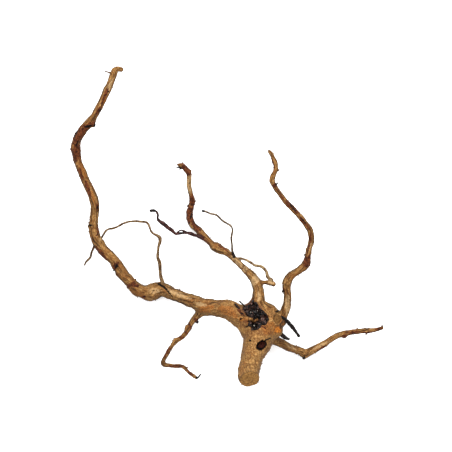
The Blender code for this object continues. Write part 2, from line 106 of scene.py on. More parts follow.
# Each limb is a list of stations x, y, height, half width, from the hub out to the tip.
TRUNK_STUB = [
    (44, -116, 45, 15), (43, -128, 49, 18), (40.5, -140, 54, 18.2), (37.6, -150, 60, 16), (34, -160, 67, 13.9),
    (31.6, -168, 73, 12.8), (29.4, -176, 80, 12.4), (28.3, -184, 87, 12.3), (29.6, -192, 95, 12),
    (31, -200, 103, 11.6), (32.5, -208, 111, 11.4),
]
MAIN_ARM = [
    (46, -121, 46, 14), (30, -118, 47, 14), (16, -112.5, 47, 13), (8, -107.4, 45.5, 12.4),
    (0, -103.8, 43.5, 11.5), (-10, -102.6, 41, 10), (-20, -102.5, 38, 9.5), (-30, -100, 34.5, 9.5),
    (-40, -95, 30, 8.2), (-50, -91, 26, 7.6), (-60, -87, 22, 7.2), (-70, -83, 17.5, 7.4),
    (-77, -79.8, 14.5, 8.4), (-84, -79.2, 12, 9.2), (-90, -81.5, 9.6, 10.6), (-96, -83, 10, 9.8),
    (-103, -82, 12.3, 8.4), (-112, -78, 15, 8), (-120, -70, 18, 6.8), (-129, -60, 21, 6.8),
    (-135, -50, 24, 6.6), (-142, -41, 27, 6.3), (-148, -35, 29, 6.2), (-154, -29, 31, 6.1),
    (-160, -20, 34.5, 6.1), (-164, -10, 38, 6.1), (-165.7, 0, 41, 5.8), (-165, 10, 44, 5.2),
    (-164, 20, 47, 5.5), (-164.4, 30, 50, 5.6), (-167.7, 40, 53, 5.7), (-172.4, 50, 56, 5.1),
    (-177, 60, 59, 5.1), (-181, 70, 62, 5.3), (-185, 80, 65, 5.1), (-187, 90, 68, 5.1), (-188, 100, 71, 6),
    (-185, 110, 74, 5.1), (-179, 120, 77, 5.1), (-170, 130, 80, 5.5), (-163, 140, 83, 4.6),
    (-158, 150, 85, 4.5), (-153, 160, 87, 4.2), (-148.6, 170, 89, 4.5), (-144, 180, 90.5, 4.1),
    (-140.5, 190, 91.5, 4.2), (-137, 196.3, 92, 3.8), (-131, 195.8, 92, 3.3),
]
CROOK_ARM = [
    (45, -114, 48, 11), (41.5, -103, 50, 9.5), (40.3, -95, 49.5, 8.2), (40.3, -88, 48, 7.3),
    (40.5, -80, 45.5, 6.9), (38, -72, 42.5, 6.6), (35, -66, 40, 5.9), (30, -60.5, 37, 5.1), (25, -55, 34, 4.5),
    (20, -50, 31, 4.1), (15, -45, 28.5, 4.1), (10, -40.5, 26, 4), (5, -36.5, 24, 3.9), (0, -32.5, 22, 4.4),
    (-8, -28.5, 19, 5.3), (-14, -25.5, 17, 5.2), (-19, -21, 15, 4.1), (-24, -16, 13, 4.2), (-29, -11, 11, 4.8),
    (-33, -6, 9, 4.4), (-37, -2.5, 7.2, 4.1), (-41, 1, 5.4, 4.1), (-44, 6, 4.0, 4.1), (-45.4, 12, 3.4, 4),
    (-45.4, 18, 4, 3.7), (-43.6, 24, 6, 3), (-42, 30, 8.8, 3.2), (-42.6, 35, 11.5, 3), (-44, 40, 14.2, 2.8),
    (-45, 45, 17, 3), (-46, 50, 19.5, 2.6), (-46, 56, 22.5, 2.7), (-46, 62, 25.5, 2.9), (-47.2, 67.5, 28, 3.3),
    (-51, 72, 30, 3), (-55, 75.6, 31.5, 2.8), (-60.5, 76.8, 33, 1.3),
]
RIGHT_UP_ARM = [
    (58, -122, 43, 9), (66, -116, 44, 6.6), (72, -110, 46, 5.2), (75, -103, 48, 5), (76.5, -95, 50, 4.8),
    (77, -88, 52, 4.7), (76, -80, 54, 4.8), (75.5, -73, 56, 5.1), (78, -66, 58, 5.2), (84, -60, 60, 4.9),
    (92, -55, 62, 4.7), (98, -50, 64, 4.7), (101.2, -44, 66, 4.4), (102.6, -36, 68, 3.9), (104.5, -28, 70, 3.6),
    (106.3, -20, 72, 3.6), (106.3, -11, 74, 3.9), (104.8, -5, 75.5, 3.8), (101.3, 0, 77, 3.7),
    (97.8, 5, 78, 3.4), (94.3, 10, 79.5, 3.5), (89.5, 15, 81, 3.5), (84.5, 20, 82.5, 3.5), (79.8, 25, 84, 3.5),
    (75, 30, 85.5, 3.4), (71, 35, 87, 3.2), (67.5, 40, 88, 3.1), (63.5, 45, 89, 3.3), (60.3, 50, 90, 3.3),
    (57.6, 56, 91.3, 3.5), (57.7, 60, 92, 3.4), (59.9, 65, 93, 2.9), (61.9, 70, 94, 3.2), (62.3, 75, 95, 2.9),
    (61, 80, 96, 3), (59, 85, 97, 2.9), (56.5, 90, 98, 2.7), (54, 93.5, 98.5, 2.5),
]
RIGHT_ARM = [
    (46, -127, 42, 11), (54, -136, 36, 8), (62, -143, 29, 5.3), (70, -147, 23, 4.9), (77, -151, 17.5, 4.8),
    (85, -153.8, 12, 4.4), (92, -156.3, 7.8, 5), (98, -159, 4.5, 5.4), (104, -157.5, 5.8, 4.6),
    (110, -154.5, 8.2, 4.2), (117, -150.5, 11.5, 3.7), (125, -146, 15.5, 3.4), (132, -141, 19, 3.3),
    (140, -136.6, 23, 3.3), (148, -134.5, 27, 3.5), (156, -132.8, 30.5, 3), (165, -131.5, 34, 2.9),
    (173, -131, 37, 2.9), (179, -131, 39.5, 2.9), (186, -130, 42, 2.5), (192, -128.3, 44, 2.3),
    (195, -127.2, 45, 2.3),
]
HOOK_TWIG = [
    (-20, -101, 36.5, 8.6), (-27, -104.5, 34.5, 7.2), (-33, -109, 31.8, 5.2), (-38, -114.5, 29, 3.9),
    (-43, -121, 26, 3.1), (-46, -127, 24, 2.9), (-49, -132, 22, 2.6), (-53, -137, 20, 2.6),
    (-58, -141, 18.5, 2.6), (-62.5, -143.2, 17.5, 3), (-67, -149, 15.5, 2.3), (-71, -155, 13.5, 2.4),
    (-75, -162, 11.5, 2.3), (-78.3, -168, 10, 2.4), (-78.6, -172, 9.5, 2.6), (-75, -173.8, 9.5, 2.5),
    (-70, -174.3, 10, 2.3), (-65, -175, 10.5, 2.3), (-58, -175, 11.5, 2.3), (-54, -175.6, 12.3, 2.2),
    (-50.7, -178.3, 13.2, 2.2), (-47.5, -182, 14.2, 1.9), (-44.5, -184.8, 14.8, 1.7),
    (-41.5, -186.6, 15.2, 1.9), (-38.5, -188.8, 15.5, 2), (-36, -190.3, 15.7, 1.1), (-33.5, -187.6, 16, 0.9),
    (-31.3, -184.8, 16.5, 0.8),
]
FORK_STUB = [
    (38.5, -72.5, 42.5, 5), (43.5, -71, 43.2, 3.3), (48, -70.7, 43.8, 2.3), (52, -70.4, 44.2, 2.4),
    (56, -71.2, 44.6, 3.1), (59.3, -72.8, 45, 2.9),
]
# Thin twigs and rootlets, from where they leave the wood.
LEFT_TWIG = [
    (-78.5, -76, 16, 2.6), (-79.5, -70, 17, 2.1), (-81.7, -62, 18.5, 1.7), (-82.4, -54, 20, 1.8),
    (-83, -46, 21.5, 1.8), (-85.3, -39, 22.6, 1.6), (-84.9, -31, 23.4, 1.4), (-84.2, -25, 24, 1.3),
    (-82.6, -19.5, 24.4, 1.7), (-82.8, -14.8, 24.6, 1.9), (-86, -12, 24.7, 1.4), (-90.5, -9.8, 24.8, 1.2),
    (-93.4, -7, 24.8, 1.2), (-95.3, -2, 24.6, 1.1), (-97.3, 2.6, 24.4, 1.3), (-99.8, 4.7, 24.2, 1.2),
    (-105, 5.2, 24, 1.2), (-112, 6, 23.6, 1.1), (-120, 5.5, 23.2, 1.1), (-127, 3.7, 22.8, 1.1),
    (-132, 1.2, 22.4, 1.1), (-137, -1.5, 22, 1.1), (-142, -3.2, 21.6, 1.1), (-146.5, -3.8, 21.2, 1.1),
    (-150, -6, 20.8, 1.1), (-153, -10.5, 20.2, 1.1), (-157, -17, 19, 1.1), (-161.5, -22.5, 17.4, 1.1),
    (-165.3, -27.5, 15.6, 1.1), (-168, -33, 13.6, 1.1), (-169.3, -38.5, 11.8, 1.1), (-172, -42, 10.2, 1.1),
    (-175, -45, 8.6, 1), (-177, -49, 7.4, 0.9),
]
DARK_TWIG = [
    (-25.5, -14.5, 12, 2.6), (-30, -14.2, 13.5, 2.1), (-35, -12.6, 15, 1.9), (-40, -11.3, 16.2, 1.8),
    (-45, -9.2, 17.4, 1.8), (-50, -8.4, 18.4, 1.6), (-55, -8.9, 19.2, 1.2), (-60, -9.5, 19.8, 1.5),
    (-63, -9.8, 20.2, 1.6), (-67, -6, 21, 1.9), (-72, -2.4, 22, 2), (-77, 1.8, 23, 2), (-81, 4.5, 23.8, 2),
    (-84, 6.8, 24.4, 1.9), (-85.6, 10, 25, 1.4), (-85.3, 14, 25.6, 1.3), (-87, 17.8, 26, 1.3),
    (-90.5, 19.3, 26.4, 1.4), (-95, 19, 26.8, 1.4),
]
DARK_LOOP = [
    (-50, -8, 18.6, 1.3), (-52.8, -6.1, 19.8, 1.1), (-56, -5.3, 20.3, 1.05), (-58.8, -6.3, 20.1, 1.05),
    (-61, -9, 19.8, 1.2),
]
WHIP_TWIG = [
    (11, -41, 27, 1.7), (9.6, -36.5, 29, 1.3), (7.8, -31, 31, 1.1), (7.5, -25, 32.4, 1), (7, -20, 33.4, 1),
    (6.6, -15, 34.2, 1), (7.4, -10, 35, 1), (8, -6, 35.6, 1), (7.4, -2.4, 36.2, 1), (5.6, 0.4, 36.7, 1),
    (2.4, 2.4, 37.2, 1), (-2, 5, 38, 1), (-6, 8, 38.6, 1), (-10, 12, 39.4, 1), (-13, 14, 39.8, 1),
    (-16.4, 14.7, 40.2, 1), (-20, 15.6, 40.6, 1), (-24, 17.4, 41, 1), (-27, 18.4, 41.3, 1.1),
    (-29.8, 18.8, 41.5, 1.2),
]
ROOTLET = [
    (56.4, -71.5, 44.6, 2.6), (56.6, -67, 44.5, 1.9), (54, -65.6, 44.2, 1.8), (52, -62.6, 43.6, 1.8),
    (51, -58, 42.6, 1.6), (48.4, -54, 41.4, 1.5), (45, -51, 40, 1.4), (41.4, -49.8, 38.6, 1.3),
    (36.4, -49.3, 36.8, 1.3), (33, -47, 35.4, 1.3), (29, -44.4, 33.8, 1.2), (24, -42, 32, 1.2),
    (20, -40.9, 30.6, 1.2), (16.5, -40.5, 29.2, 1.3), (13, -41.5, 27.5, 1.6),
]
BLACK_STRAPS = [
    [(66, -109.6, 54, 0.8), (68, -111.6, 55, 0.9), (71, -114.2, 53.5, 1.3), (75, -117.5, 50, 1.8),
     (80, -123, 45, 2), (85, -129, 40, 2), (89, -134.5, 34.5, 1.8), (91.5, -138.3, 31, 1.3)],
    [(62, -130, 44, 4), (68, -134.5, 40, 2.3), (72, -138, 36.5, 2.1), (76, -140.4, 33, 2),
     (79, -141.4, 31, 1.6)],
    [(16.6, -93.8, 57, 0.8), (20, -97, 56, 0.8), (23, -100.4, 54.5, 1), (26, -104.5, 52, 1.6)],
    [(11, -97, 55.6, 1.1), (14.6, -101.4, 55.6, 1.3), (18, -106, 55, 1.5), (21, -110, 53, 2)],
]
# Limbs that melt together: stations, a number that shifts the ridges, their height, the melt's width.
LIMBS = [
    (TRUNK_STUB, 0.4, 0.035, 6.0), (MAIN_ARM, 0.0, 0.05, 6.0), (CROOK_ARM, 1.3, 0.05, 5.0),
    (RIGHT_UP_ARM, 2.2, 0.05, 4.0), (RIGHT_ARM, 3.1, 0.05, 4.0), (HOOK_TWIG, 4.5, 0.05, 3.5),
    (FORK_STUB, 3.6, 0.05, 2.0),
]
# Thin twigs: name, stations, how much thicker, a number that shifts the draws, black parts, skin, knobs.
TWIGS = [
    ("left_twig", LEFT_TWIG, 1.12, 5.2, [], "brown", 0.16),
    ("dark_twig", DARK_TWIG, 1.15, 0.9, [(-92, 19, 5, 3, 0), (-56, -8, 4, 3, 0)], "dark", 0.26),
    ("dark_loop", DARK_LOOP, 1, 0.6, [], "dark", 0.26),
    ("whip_twig", WHIP_TWIG, 1.25, 1.7, [(10, -36, 5, 4, 0), (-29, 19, 3, 2, 0)], "grey", 0.16),
    ("rootlet", ROOTLET, 1.2, 2.6, [], "pale", 0.16),
]
# A mark that covers everything.
ALL_OF_IT = (50, -110, 400, 400, 0)
# Snags and broken twiglets: base x, y, height, half width, then the tip's, and how black it is.
SPURS = [
    ((-191, 96.5, 70.5, 2.2), (-195.5, 96, 72, 0.6), 0.2),
    ((-113.5, -72.5, 16.5, 2.6), (-113, -66, 18.5, 0.7), 0.2),
    ((-136, -51.5, 26, 3), (-141, -56.3, 27.5, 0.6), 0.8),
    ((-169, 2, 42, 2.4), (-172, 4.5, 43.5, 0.7), 0.1),
    ((-142.5, 190.6, 91.5, 1.4), (-152, 193.7, 92.5, 0.6), 0.3),
    ((-164.5, -25.5, 33.5, 2.2), (-167, -29, 34, 0.7), 0.3),
    ((-40, 31, 9.3, 1.8), (-37.6, 31.5, 10, 0.6), 0.6),
    ((-46.2, 25, 5.8, 1.7), (-49, 25, 6.2, 0.6), 0.5),
    ((-53, 73.5, 30.8, 2.2), (-62, 73.3, 32, 0.6), 0.8),
    ((-54, 73.5, 31, 2.2), (-58.4, 70.6, 30.4, 0.6), 0.9),
    ((-56, 75.5, 32, 1.6), (-61.5, 77.4, 33, 0.5), 0.6),
    ((-45.5, 67.5, 28.4, 2.4), (-43.6, 70, 29, 0.8), 0.1),
    ((101, -37, 68, 2.4), (97.2, -36, 69, 0.7), 0.4),
    ((63.4, 69.5, 94, 2), (67.3, 70.2, 94.6, 0.6), 0.2),
    ((60.6, 49.5, 90.6, 2), (64.8, 54.3, 93, 0.7), 0.9),
    ((73, -78.5, 54, 2.4), (70, -82.8, 54.6, 0.9), 1.0),
    ((164.2, -130, 34.2, 1.9), (163.8, -127.2, 35, 0.6), 0.2),
    ((177, -132.4, 38.4, 1.8), (174.6, -136, 37.4, 0.7), 0.3),
    ((195.2, -126.5, 45.2, 1.7), (195, -123.4, 46, 0.6), 0.2),
    ((-62.6, -142.5, 17.6, 2.1), (-65.6, -140.4, 18, 0.7), 0.2),
    ((-50.6, -177.6, 13.4, 1.8), (-47.6, -176.8, 13.8, 0.6), 0.2),
    ((-38.5, -118, 28, 2.6), (-35.2, -120.8, 28, 1.4), 0.8),
    ((97.2, -162, 6.2, 2.8), (97.6, -166, 6.6, 1.7), 0.9),
    ((62.5, -107.5, 49, 2), (64.5, -105.6, 50.5, 0.8), 1.0),
]
# Knots: x, y, height; half width across, along, upright; turn in the plan in degrees.
KNOTS = [
    ((-90.5, -83, 11.6), (9.5, 9, 10), 20), ((-166.6, 127, 79.5), (3.2, 4, 4.4), 40),
    ((-137.5, -49.5, 25.5), (5.4, 4.6, 6.4), 30), ((-188.2, 101, 71.5), (4.4, 5.6, 5.6), 0),
    ((-48.2, -127, 24), (3.4, 3.6, 3.4), 0), ((148, -136.4, 26.5), (3.4, 3.6, 3.2), 0),
    ((53.5, -71, 44.6), (3.4, 2.9, 3), 20), ((76.6, -70.5, 56.4), (5.9, 5, 5.6), 0),
    ((-10.5, -27, 18), (6, 5.3, 5.8), -30), ((36.4, -197.4, 94), (6.4, 4.4, 7), 0),
]
# The swellings of the hub, the decayed pocket's hollows and the knot hole, in the same way.
HUB = [
    ((43, -121, 43), (22, 22, 18), 0), ((51.5, -106, 50), (10.4, 9.8, 12), 20),
    ((59, -117, 50), (12, 12.5, 13), 0), ((60, -130, 44), (10.4, 10, 13), 10),
    ((29, -127, 46), (12, 12, 14), 30), ((26, -114, 47), (13, 12, 14), -35),
    ((33, -103, 45), (10, 9.5, 11), 40), ((70.6, -119, 43), (4.8, 4.6, 5), 0),
]
POCKETS = [
    ((32, -103, 62), (9.5, 6.6, 9), 50), ((44, -114.5, 65), (9, 7.5, 10), -60),
    ((36, -124.5, 65), (6.5, 5.4, 9), -40), ((32.6, -122.4, 62), (3.6, 4.2, 6), 20),
    ((38.5, -109, 63), (6, 5, 8), -50),
]
KNOT_HOLE = ((44.6, -149, 76), (7.2, 4.8, 9), 38)
# The split beside the left twig, as stations.
SPLIT = [
    (-86.5, -70.4, 16, 0.9), (-82.5, -73, 19.5, 1.1), (-76, -78, 23, 1), (-71, -83.2, 24.9, 0.9),
    (-66.5, -88, 26, 0.7),
]
# Sawn faces: a point on the face, and the way it faces.
STUB_SAW = ((30.2, -192, 95), (0.17, -0.6, 0.78))
SCAR_SAW = ((63.6, -116, 60.2), (0.28, 0.1, 0.95))

# The ragged outline of the black, decayed pocket, in the plan.
DECAY_EDGE = [
    (20, -103.5), (22, -101), (25, -99.5), (28, -98), (30, -95), (33, -91), (36, -98), (41, -101), (43, -104),
    (46, -108), (48, -111), (52, -112), (52.5, -115), (50, -121), (47, -123), (41, -124.5), (40, -128),
    (36, -130), (33, -128), (31, -124), (28.5, -119), (33, -119.6), (37.5, -118.4), (33, -115), (28, -112),
    (23, -108),
]

# Marks on the wood: x, y, half length, half width, turn in degrees. Bark left on:
BARK = [
    (-186.5, 92, 12, 9, 85), (-184.5, 113, 14, 5, 62), (-176, 123, 9, 4, 40), (-151.5, 163, 11, 1.7, 66),
    (-160, 144, 7, 1.6, 60), (-168, 127, 9, 2.4, 25), (-161, 25, 7, 1.4, 85), (-156, -34, 12, 2.6, -50),
    (-138, -49, 5.5, 3.6, 60), (-38, 2, 10, 6, -50), (-45, 14, 14, 7, 88), (-42.5, 32, 8, 4.6, 85),
    (-51, 73, 8, 4, -40), (-46.6, 67, 5, 4, 80), (-3, -28.4, 9, 1.1, -33), (101.5, -43, 8, 5, 70),
    (81.5, 25, 13, 3, -45), (98.5, 4, 10, 2.2, -50), (62, 51, 4, 3, 60), (98, -165, 3, 1.6, 0),
    (148, -137.4, 4, 2.2, 0), (-36, -119, 5, 2.4, -50), (-113, -74, 5, 2.6, 0), (-102, -88, 3, 2, 0),
    (46, -126.5, 4, 1.4, -30), (18, -108, 5, 2, -40), (-173, 48, 12, 2.2, 112), (-181.5, 66, 12, 2.1, 110),
    (-45, -125, 9, 1.8, -62), (-56, -139, 5, 1.6, -25), (-73, -157, 9, 1.8, 60), (-62, -175, 12, 1.4, 0),
    (-45, -184, 6, 1.6, -40), (120, -152, 8, 1.5, 30), (176, -133, 6, 1.3, 0), (191, -128.6, 5, 1.8, 12),
    (158, -133, 8, 2, 8), (105.5, -16, 8, 1.4, 88), (-30, -15, 7, 2, -40), (71, -79, 4, 2, 80),
    (68, 40, 9, 1.3, -52), (58.5, 80, 9, 1, -75), (103, -27, 7, 1.5, 80), (-50, -133, 11, 1.7, -55),
    (-122, -76, 12, 1.8, 40), (-160, -5, 9, 1.4, 80),
]
# Near black: stains, eyes and streaks.
BLACK = [
    (-164, 126.6, 3.4, 2.4, 60), (-172.5, 124.6, 5.5, 1.3, 14), (-187, 116, 5, 1.4, 65),
    (-137, -50, 3, 1.8, 60), (19, -116, 2, 1.5, 0), (26, -126, 1.8, 1.5, 0), (30, -143, 1.5, 1.1, 0),
    (10.4, -38.4, 2, 1.2, 0), (71, -81, 3, 1.6, -60), (40, -199, 5, 1.8, 30), (97.5, -165, 2.2, 2, 0),
    (21, -111, 5, 1.1, -40), (51.8, -141.5, 5, 1, 22), (-34, -188, 5, 3, 40), (-160.5, 24, 3.4, 1.1, 82),
    (-169, 1, 2, 1.2, 0), (-147.6, 168, 2, 1.2, 65), (-157.5, 145, 2.2, 1.2, 60), (-36.6, -120.6, 2.4, 1.4, 0),
    (84, 22.6, 7, 0.9, -48), (97, 6.6, 5, 0.9, -52), (-186, 104, 5, 0.9, 70), (-38, 3, 6, 0.9, -45),
    (-44, 12, 5, 0.8, 80), (63.6, -107, 2, 1.4, 30), (-102, -87.6, 1.4, 1, 0), (-141, -56, 2, 1.4, 0),
    (-55, -6, 3, 2, 0),
]
# Orange heartwood showing through.
ORANGE = [
    (63, -128, 7, 5, 0), (51, -130, 10, 6, -15), (56, -123, 5, 3, 0), (2, -106, 12, 6, -20),
    (-24, -103, 10, 5, 10), (10, -110, 7, 3.4, -50), (-178, 68, 12, 2, 111), (22, -117, 5, 3, 0),
    (70, -120, 3.6, 3, 0), (-150, 158, 10, 2, 66), (-166, 36, 8, 2, 105),
]
# Bright amber spots.
AMBER_SPOTS = [(64.6, -130.2, 4.4, 3.4, -10), (70, -112.4, 4, 0.9, -48), (18.5, -116.4, 2.4, 1.4, -50)]
# Pale stretches, rubbed bare.
PALE = [
    (-45.5, 52, 14, 4, 88), (36, -68, 10, 5, 55), (-157, -16, 4, 1.6, 60), (77, -98, 14, 3, 88),
    (104, -22, 9, 2.4, 85), (24, -54, 10, 2.6, 42), (-146, 174, 12, 2, 68), (-60, -85, 14, 3, -20),
    (57, -70.8, 5, 4, 0), (-31, -98, 8, 2.2, -10), (82, -152, 7, 1.6, -25), (118, -149.6, 12, 1.6, 27),
    (41, -88, 6, 2.4, 88), (15, -45.5, 12, 2.8, -43), (-90, -81, 8, 3.4, 0),
]
# Purple-brown flaps and lumps of half-decayed wood.
FLAPS = [
    (31, -95.5, 5, 3.4, 60), (27.5, -99, 3.4, 2.4, 20), (18.5, -103.5, 4.4, 2.2, -40),
    (46.5, -112.5, 4.6, 3, -40), (24, -120, 3, 2, 0), (43, -101, 4, 2, -50),
]
# The tan ridges of sound wood left between the pits, and the dull red-brown parts below them.
RIDGES = [(29, -115.8, 8, 2.4, -12), (23, -112.6, 4, 2, -50), (37.4, -117.8, 3.6, 1.4, 20)]
DULL = [(44, -134, 11, 4, -5), (29, -136, 6, 5, 60), (37, -142, 5, 4, 0), (20, -124, 6, 3, -50)]
# Pale specks in the pocket and the knot hole, painted glints: x, y, half width.
GLINT_SPECKS = [
    (26.5, -106.5, 0.8), (35.4, -123.4, 0.75), (46, -152.4, 0.9), (31, -108.4, 0.6), (44, -112, 0.6),
    (39.6, -105.4, 0.6),
]
# Hairs and bristles: base, tip, half width.
HAIRS = [
    ((-67, -79, 22), (-67.4, -73, 24), 0.42), ((-64.6, -80, 23), (-65.8, -75, 26), 0.34),
    ((-58, -82, 25), (-58.4, -75.8, 27), 0.42), ((-55, -83, 26), (-53.6, -78.4, 29), 0.3),
    ((91, -158, 9), (90.4, -162.4, 8), 0.24), ((93, -158.4, 8), (94.4, -163, 6), 0.2),
    ((-185, 88, 68), (-190.4, 91.4, 69), 0.22), ((-183.6, 104, 72), (-188.6, 104.8, 74), 0.22),
    ((39.4, -194.6, 93), (43, -196.4, 92), 0.3), ((-112, -72, 18), (-110.4, -67.6, 20), 0.22),
    ((-104, -75, 14), (-104.6, -71, 16), 0.24), ((-40.6, 28, 9), (-37.4, 27, 10), 0.22),
    ((104, -33, 70), (108.4, -33.6, 71), 0.2), ((150, -134, 28), (151, -129.4, 29), 0.22),
    ((168, -131, 36), (170.4, -126.8, 37), 0.2), ((118, -150, 13), (117.4, -145.4, 14), 0.22),
    ((-140.6, 186, 91), (-136.4, 184.4, 92), 0.22), ((60, 60, 93), (64, 59, 94), 0.2),
    ((96, 8, 79), (99.6, 10.4, 80), 0.2), ((-128, -62, 22), (-124, -57.6, 24), 0.24),
]


def place(x, y, z):
    """The point in millimetres, in the part's frame, that looks to be at x, y on the bench."""
    inward = 1 - z / EYE_HEIGHT
    return np.array([x * inward - CENTRE_X, y * inward - CENTRE_Y, z])


def seen(points):
    """Where points in the part's frame look to be on the bench, from the eye."""
    outward = EYE_HEIGHT / (EYE_HEIGHT - points[:, 2])
    return np.column_stack([(points[:, 0] + CENTRE_X) * outward, (points[:, 1] + CENTRE_Y) * outward])


def placed(stations):
    """Stations in the part's frame, as rows of x, y, z and half width."""
    rows = []
    for x, y, z, r in stations:
        wide = (r * WIDER + WIDER_BY) * (1 - z / EYE_HEIGHT)
        rows.append((*place(x, y, z), wide))
    return np.array(rows)


def between(t, t0, t1, p0, p1):
    """The point at t of the straight line that is at p0 at t0 and at p1 at t1."""
    return (t1 - t) / (t1 - t0) * p0 + (t - t0) / (t1 - t0) * p1


def smooth_path(points):
    """A fine, rounded path through the stations, by centripetal Catmull-Rom."""
    ends = np.vstack([2 * points[0] - points[1], points, 2 * points[-1] - points[-2]])
    knots = np.zeros(len(ends))
    for i in range(1, len(ends)):
        knots[i] = knots[i - 1] + math.sqrt(np.linalg.norm(ends[i, :3] - ends[i - 1, :3]))
    fine = []
    for i in range(1, len(ends) - 2):
        t0, t1, t2, t3 = knots[i - 1:i + 3]
        p0, p1, p2, p3 = ends[i - 1:i + 3]
        for t in np.linspace(t1, t2, STEPS_PER_STATION, endpoint=False):
            a, b, c = between(t, t0, t1, p0, p1), between(t, t1, t2, p1, p2), between(t, t2, t3, p2, p3)
            fine.append(between(t, t1, t2, between(t, t0, t2, a, b), between(t, t1, t3, b, c)))
    fine.append(points[-1])
    return np.array(fine)


def lattice(cells, seed):
    """A repeatable draw from 0 to 1 for each whole-numbered cell, by mixing its digits."""
    mixed = cells.astype(np.int64) * np.array([73856093, 19349663, 83492791])
    total = mixed[..., 0] ^ mixed[..., 1] ^ mixed[..., 2]
    total = (total + seed * 1013904223) & 0xFFFFFFFF
    for shift, factor in ((15, 2246822519), (13, 3266489917)):
        total = ((total ^ (total >> shift)) * factor) & 0xFFFFFFFF
    return ((total ^ (total >> 16)) & 0xFFFFFF) / float(0xFFFFFF)


def noise(points, scale, seed):
    """Smooth noise from -1 to 1 at points, with features about scale across."""
    at = points / scale
    base = np.floor(at)
    part = at - base
    ease = part * part * (3 - 2 * part)
    total = np.zeros(len(points))
    for corner in np.ndindex(2, 2, 2):
        weight = 1.0
        for axis, far in enumerate(corner):
            weight = weight * (ease[:, axis] if far else 1 - ease[:, axis])
        total += weight * lattice(base + np.array(corner), seed)
    return total * 2 - 1


def rough(points, scale, seed, octaves=3, fade=0.5):
    """Several layers of noise, each finer and weaker."""
    total = np.zeros(len(points))
    strength = 1.0
    for layer in range(octaves):
        total += strength * noise(points, scale / 2 ** layer, seed + 17 * layer)
        strength *= fade
    return total


def step(value, low, high):
    """0 below low, 1 above high, eased between."""
    t = np.clip((value - low) / (high - low), 0, 1)
    return t * t * (3 - 2 * t)


def melt(a, b, width):
    """The nearer of two distances, rounded where they meet over width."""
    blend = np.maximum(width - np.abs(a - b), 0)
    return np.minimum(a, b) - blend * blend / (4 * width)


def turned(turn):
    """Cosine and sine of a turn in degrees."""
    return math.cos(math.radians(turn)), math.sin(math.radians(turn))


class Limb:
    """A limb's centre line in millimetres, with its half width and a frame that doesn't twist."""

    def __init__(self, stations, seed, spacing=1.2, ridge=0.05):
        self.seed = seed
        self.ridge = ridge
        fine = smooth_path(placed(stations))
        lengths = np.linalg.norm(np.diff(fine[:, :3], axis=0), axis=1)
        travelled = np.concatenate([[0], np.cumsum(lengths)])
        count = max(4, int(travelled[-1] / spacing) + 1)
        self.along = np.linspace(0, travelled[-1], count)
        rows = np.column_stack([np.interp(self.along, travelled, fine[:, k]) for k in range(4)])
        self.points = rows[:, :3]
        self.radii = rows[:, 3]
        tangents = np.gradient(self.points, axis=0)
        self.tangents = tangents / np.linalg.norm(tangents, axis=1)[:, None]
        self.sides = np.zeros_like(self.points)
        side = np.array(Vector(self.tangents[0]).orthogonal().normalized())
        for i, tangent in enumerate(self.tangents):
            side = side - tangent * (side @ tangent)
            side = side / np.linalg.norm(side)
            self.sides[i] = side
        self.ups = np.cross(self.tangents, self.sides)
        turning = np.linalg.norm(np.gradient(self.tangents, axis=0), axis=1) / (self.along[1] - self.along[0])
        reach = np.exp(-np.linspace(-2, 2, 9) ** 2)
        self.bends = np.convolve(turning, reach / reach.sum(), mode="same")

    def section(self, angle, along, radius):
        """The ridged outline: long flutes that turn slowly as they run along the limb, and swellings."""
        turn = along / FLUTE_TURN
        shape = 0
        for height, flutes, shift, way in FLUTES:
            shape = shape + height * np.cos(flutes * angle + shift * self.seed + way * turn)
        swell = 0.35 * np.sin(along / 9.0 + self.seed) + 0.3 * np.sin(along / 5.3 + 3 * self.seed)
        return radius * (1 + self.ridge * shape + 0.6 * self.ridge * swell)

    def measure(self, points):
        """For each point: distance outside the limb, then its place along, its angle and the half width."""
        out = np.full((len(points), 4), FAR)
        low = (self.points - self.radii[:, None]).min(0) - NEARBY
        high = (self.points + self.radii[:, None]).max(0) + NEARBY
        near = np.where(((points > low) & (points < high)).all(1))[0]
        half = 0.5 * (self.along[1] - self.along[0])
        for start in range(0, len(near), AT_ONCE):
            rows = near[start:start + AT_ONCE]
            p = points[rows]
            gaps = (p * p).sum(1)[:, None] - 2 * p @ self.points.T + (self.points ** 2).sum(1)[None]
            nearest = np.argmin(np.sqrt(np.maximum(gaps, 0)) - self.radii[None], axis=1)
            shift = ((p - self.points[nearest]) * self.tangents[nearest]).sum(1)
            shift = np.clip(shift, np.where(nearest == 0, 0, -half),
                            np.where(nearest == len(self.along) - 1, 0, half))
            along = self.along[nearest] + shift
            off = p - (self.points[nearest] + shift[:, None] * self.tangents[nearest])
            angle = np.arctan2((off * self.ups[nearest]).sum(1), (off * self.sides[nearest]).sum(1))
            radius = np.interp(along, self.along, self.radii)
            gap = np.linalg.norm(off, axis=1) - self.section(angle, along, radius)
            out[rows] = np.column_stack([gap, along, angle, radius])
        return out


class Lump:
    """A swelling or a hollow: a ball, stretched and turned in the plan."""

    def __init__(self, centre, reach, turn):
        self.middle = place(*centre)
        self.size = np.array(reach) * (1 - centre[2] / EYE_HEIGHT)
        c, s = turned(turn)
        self.turn = np.array([[c, -s, 0], [s, c, 0], [0, 0, 1]])

    def distance(self, points):
        local = (points - self.middle) @ self.turn
        ratio = np.linalg.norm(local / self.size, axis=1)
        steep = np.linalg.norm(local / self.size ** 2, axis=1)
        return ratio * (ratio - 1) / np.maximum(steep, 1e-6)


class Saw:
    """A sawn face: its middle and the way it faces."""

    def __init__(self, point, facing):
        self.middle = place(*point)
        self.normal = np.array(facing) / np.linalg.norm(facing)

    def measure(self, points):
        """How far points are over the face, and the rest of their way from its middle."""
        over = (points - self.middle) @ self.normal
        return over, points - self.middle - over[:, None] * self.normal


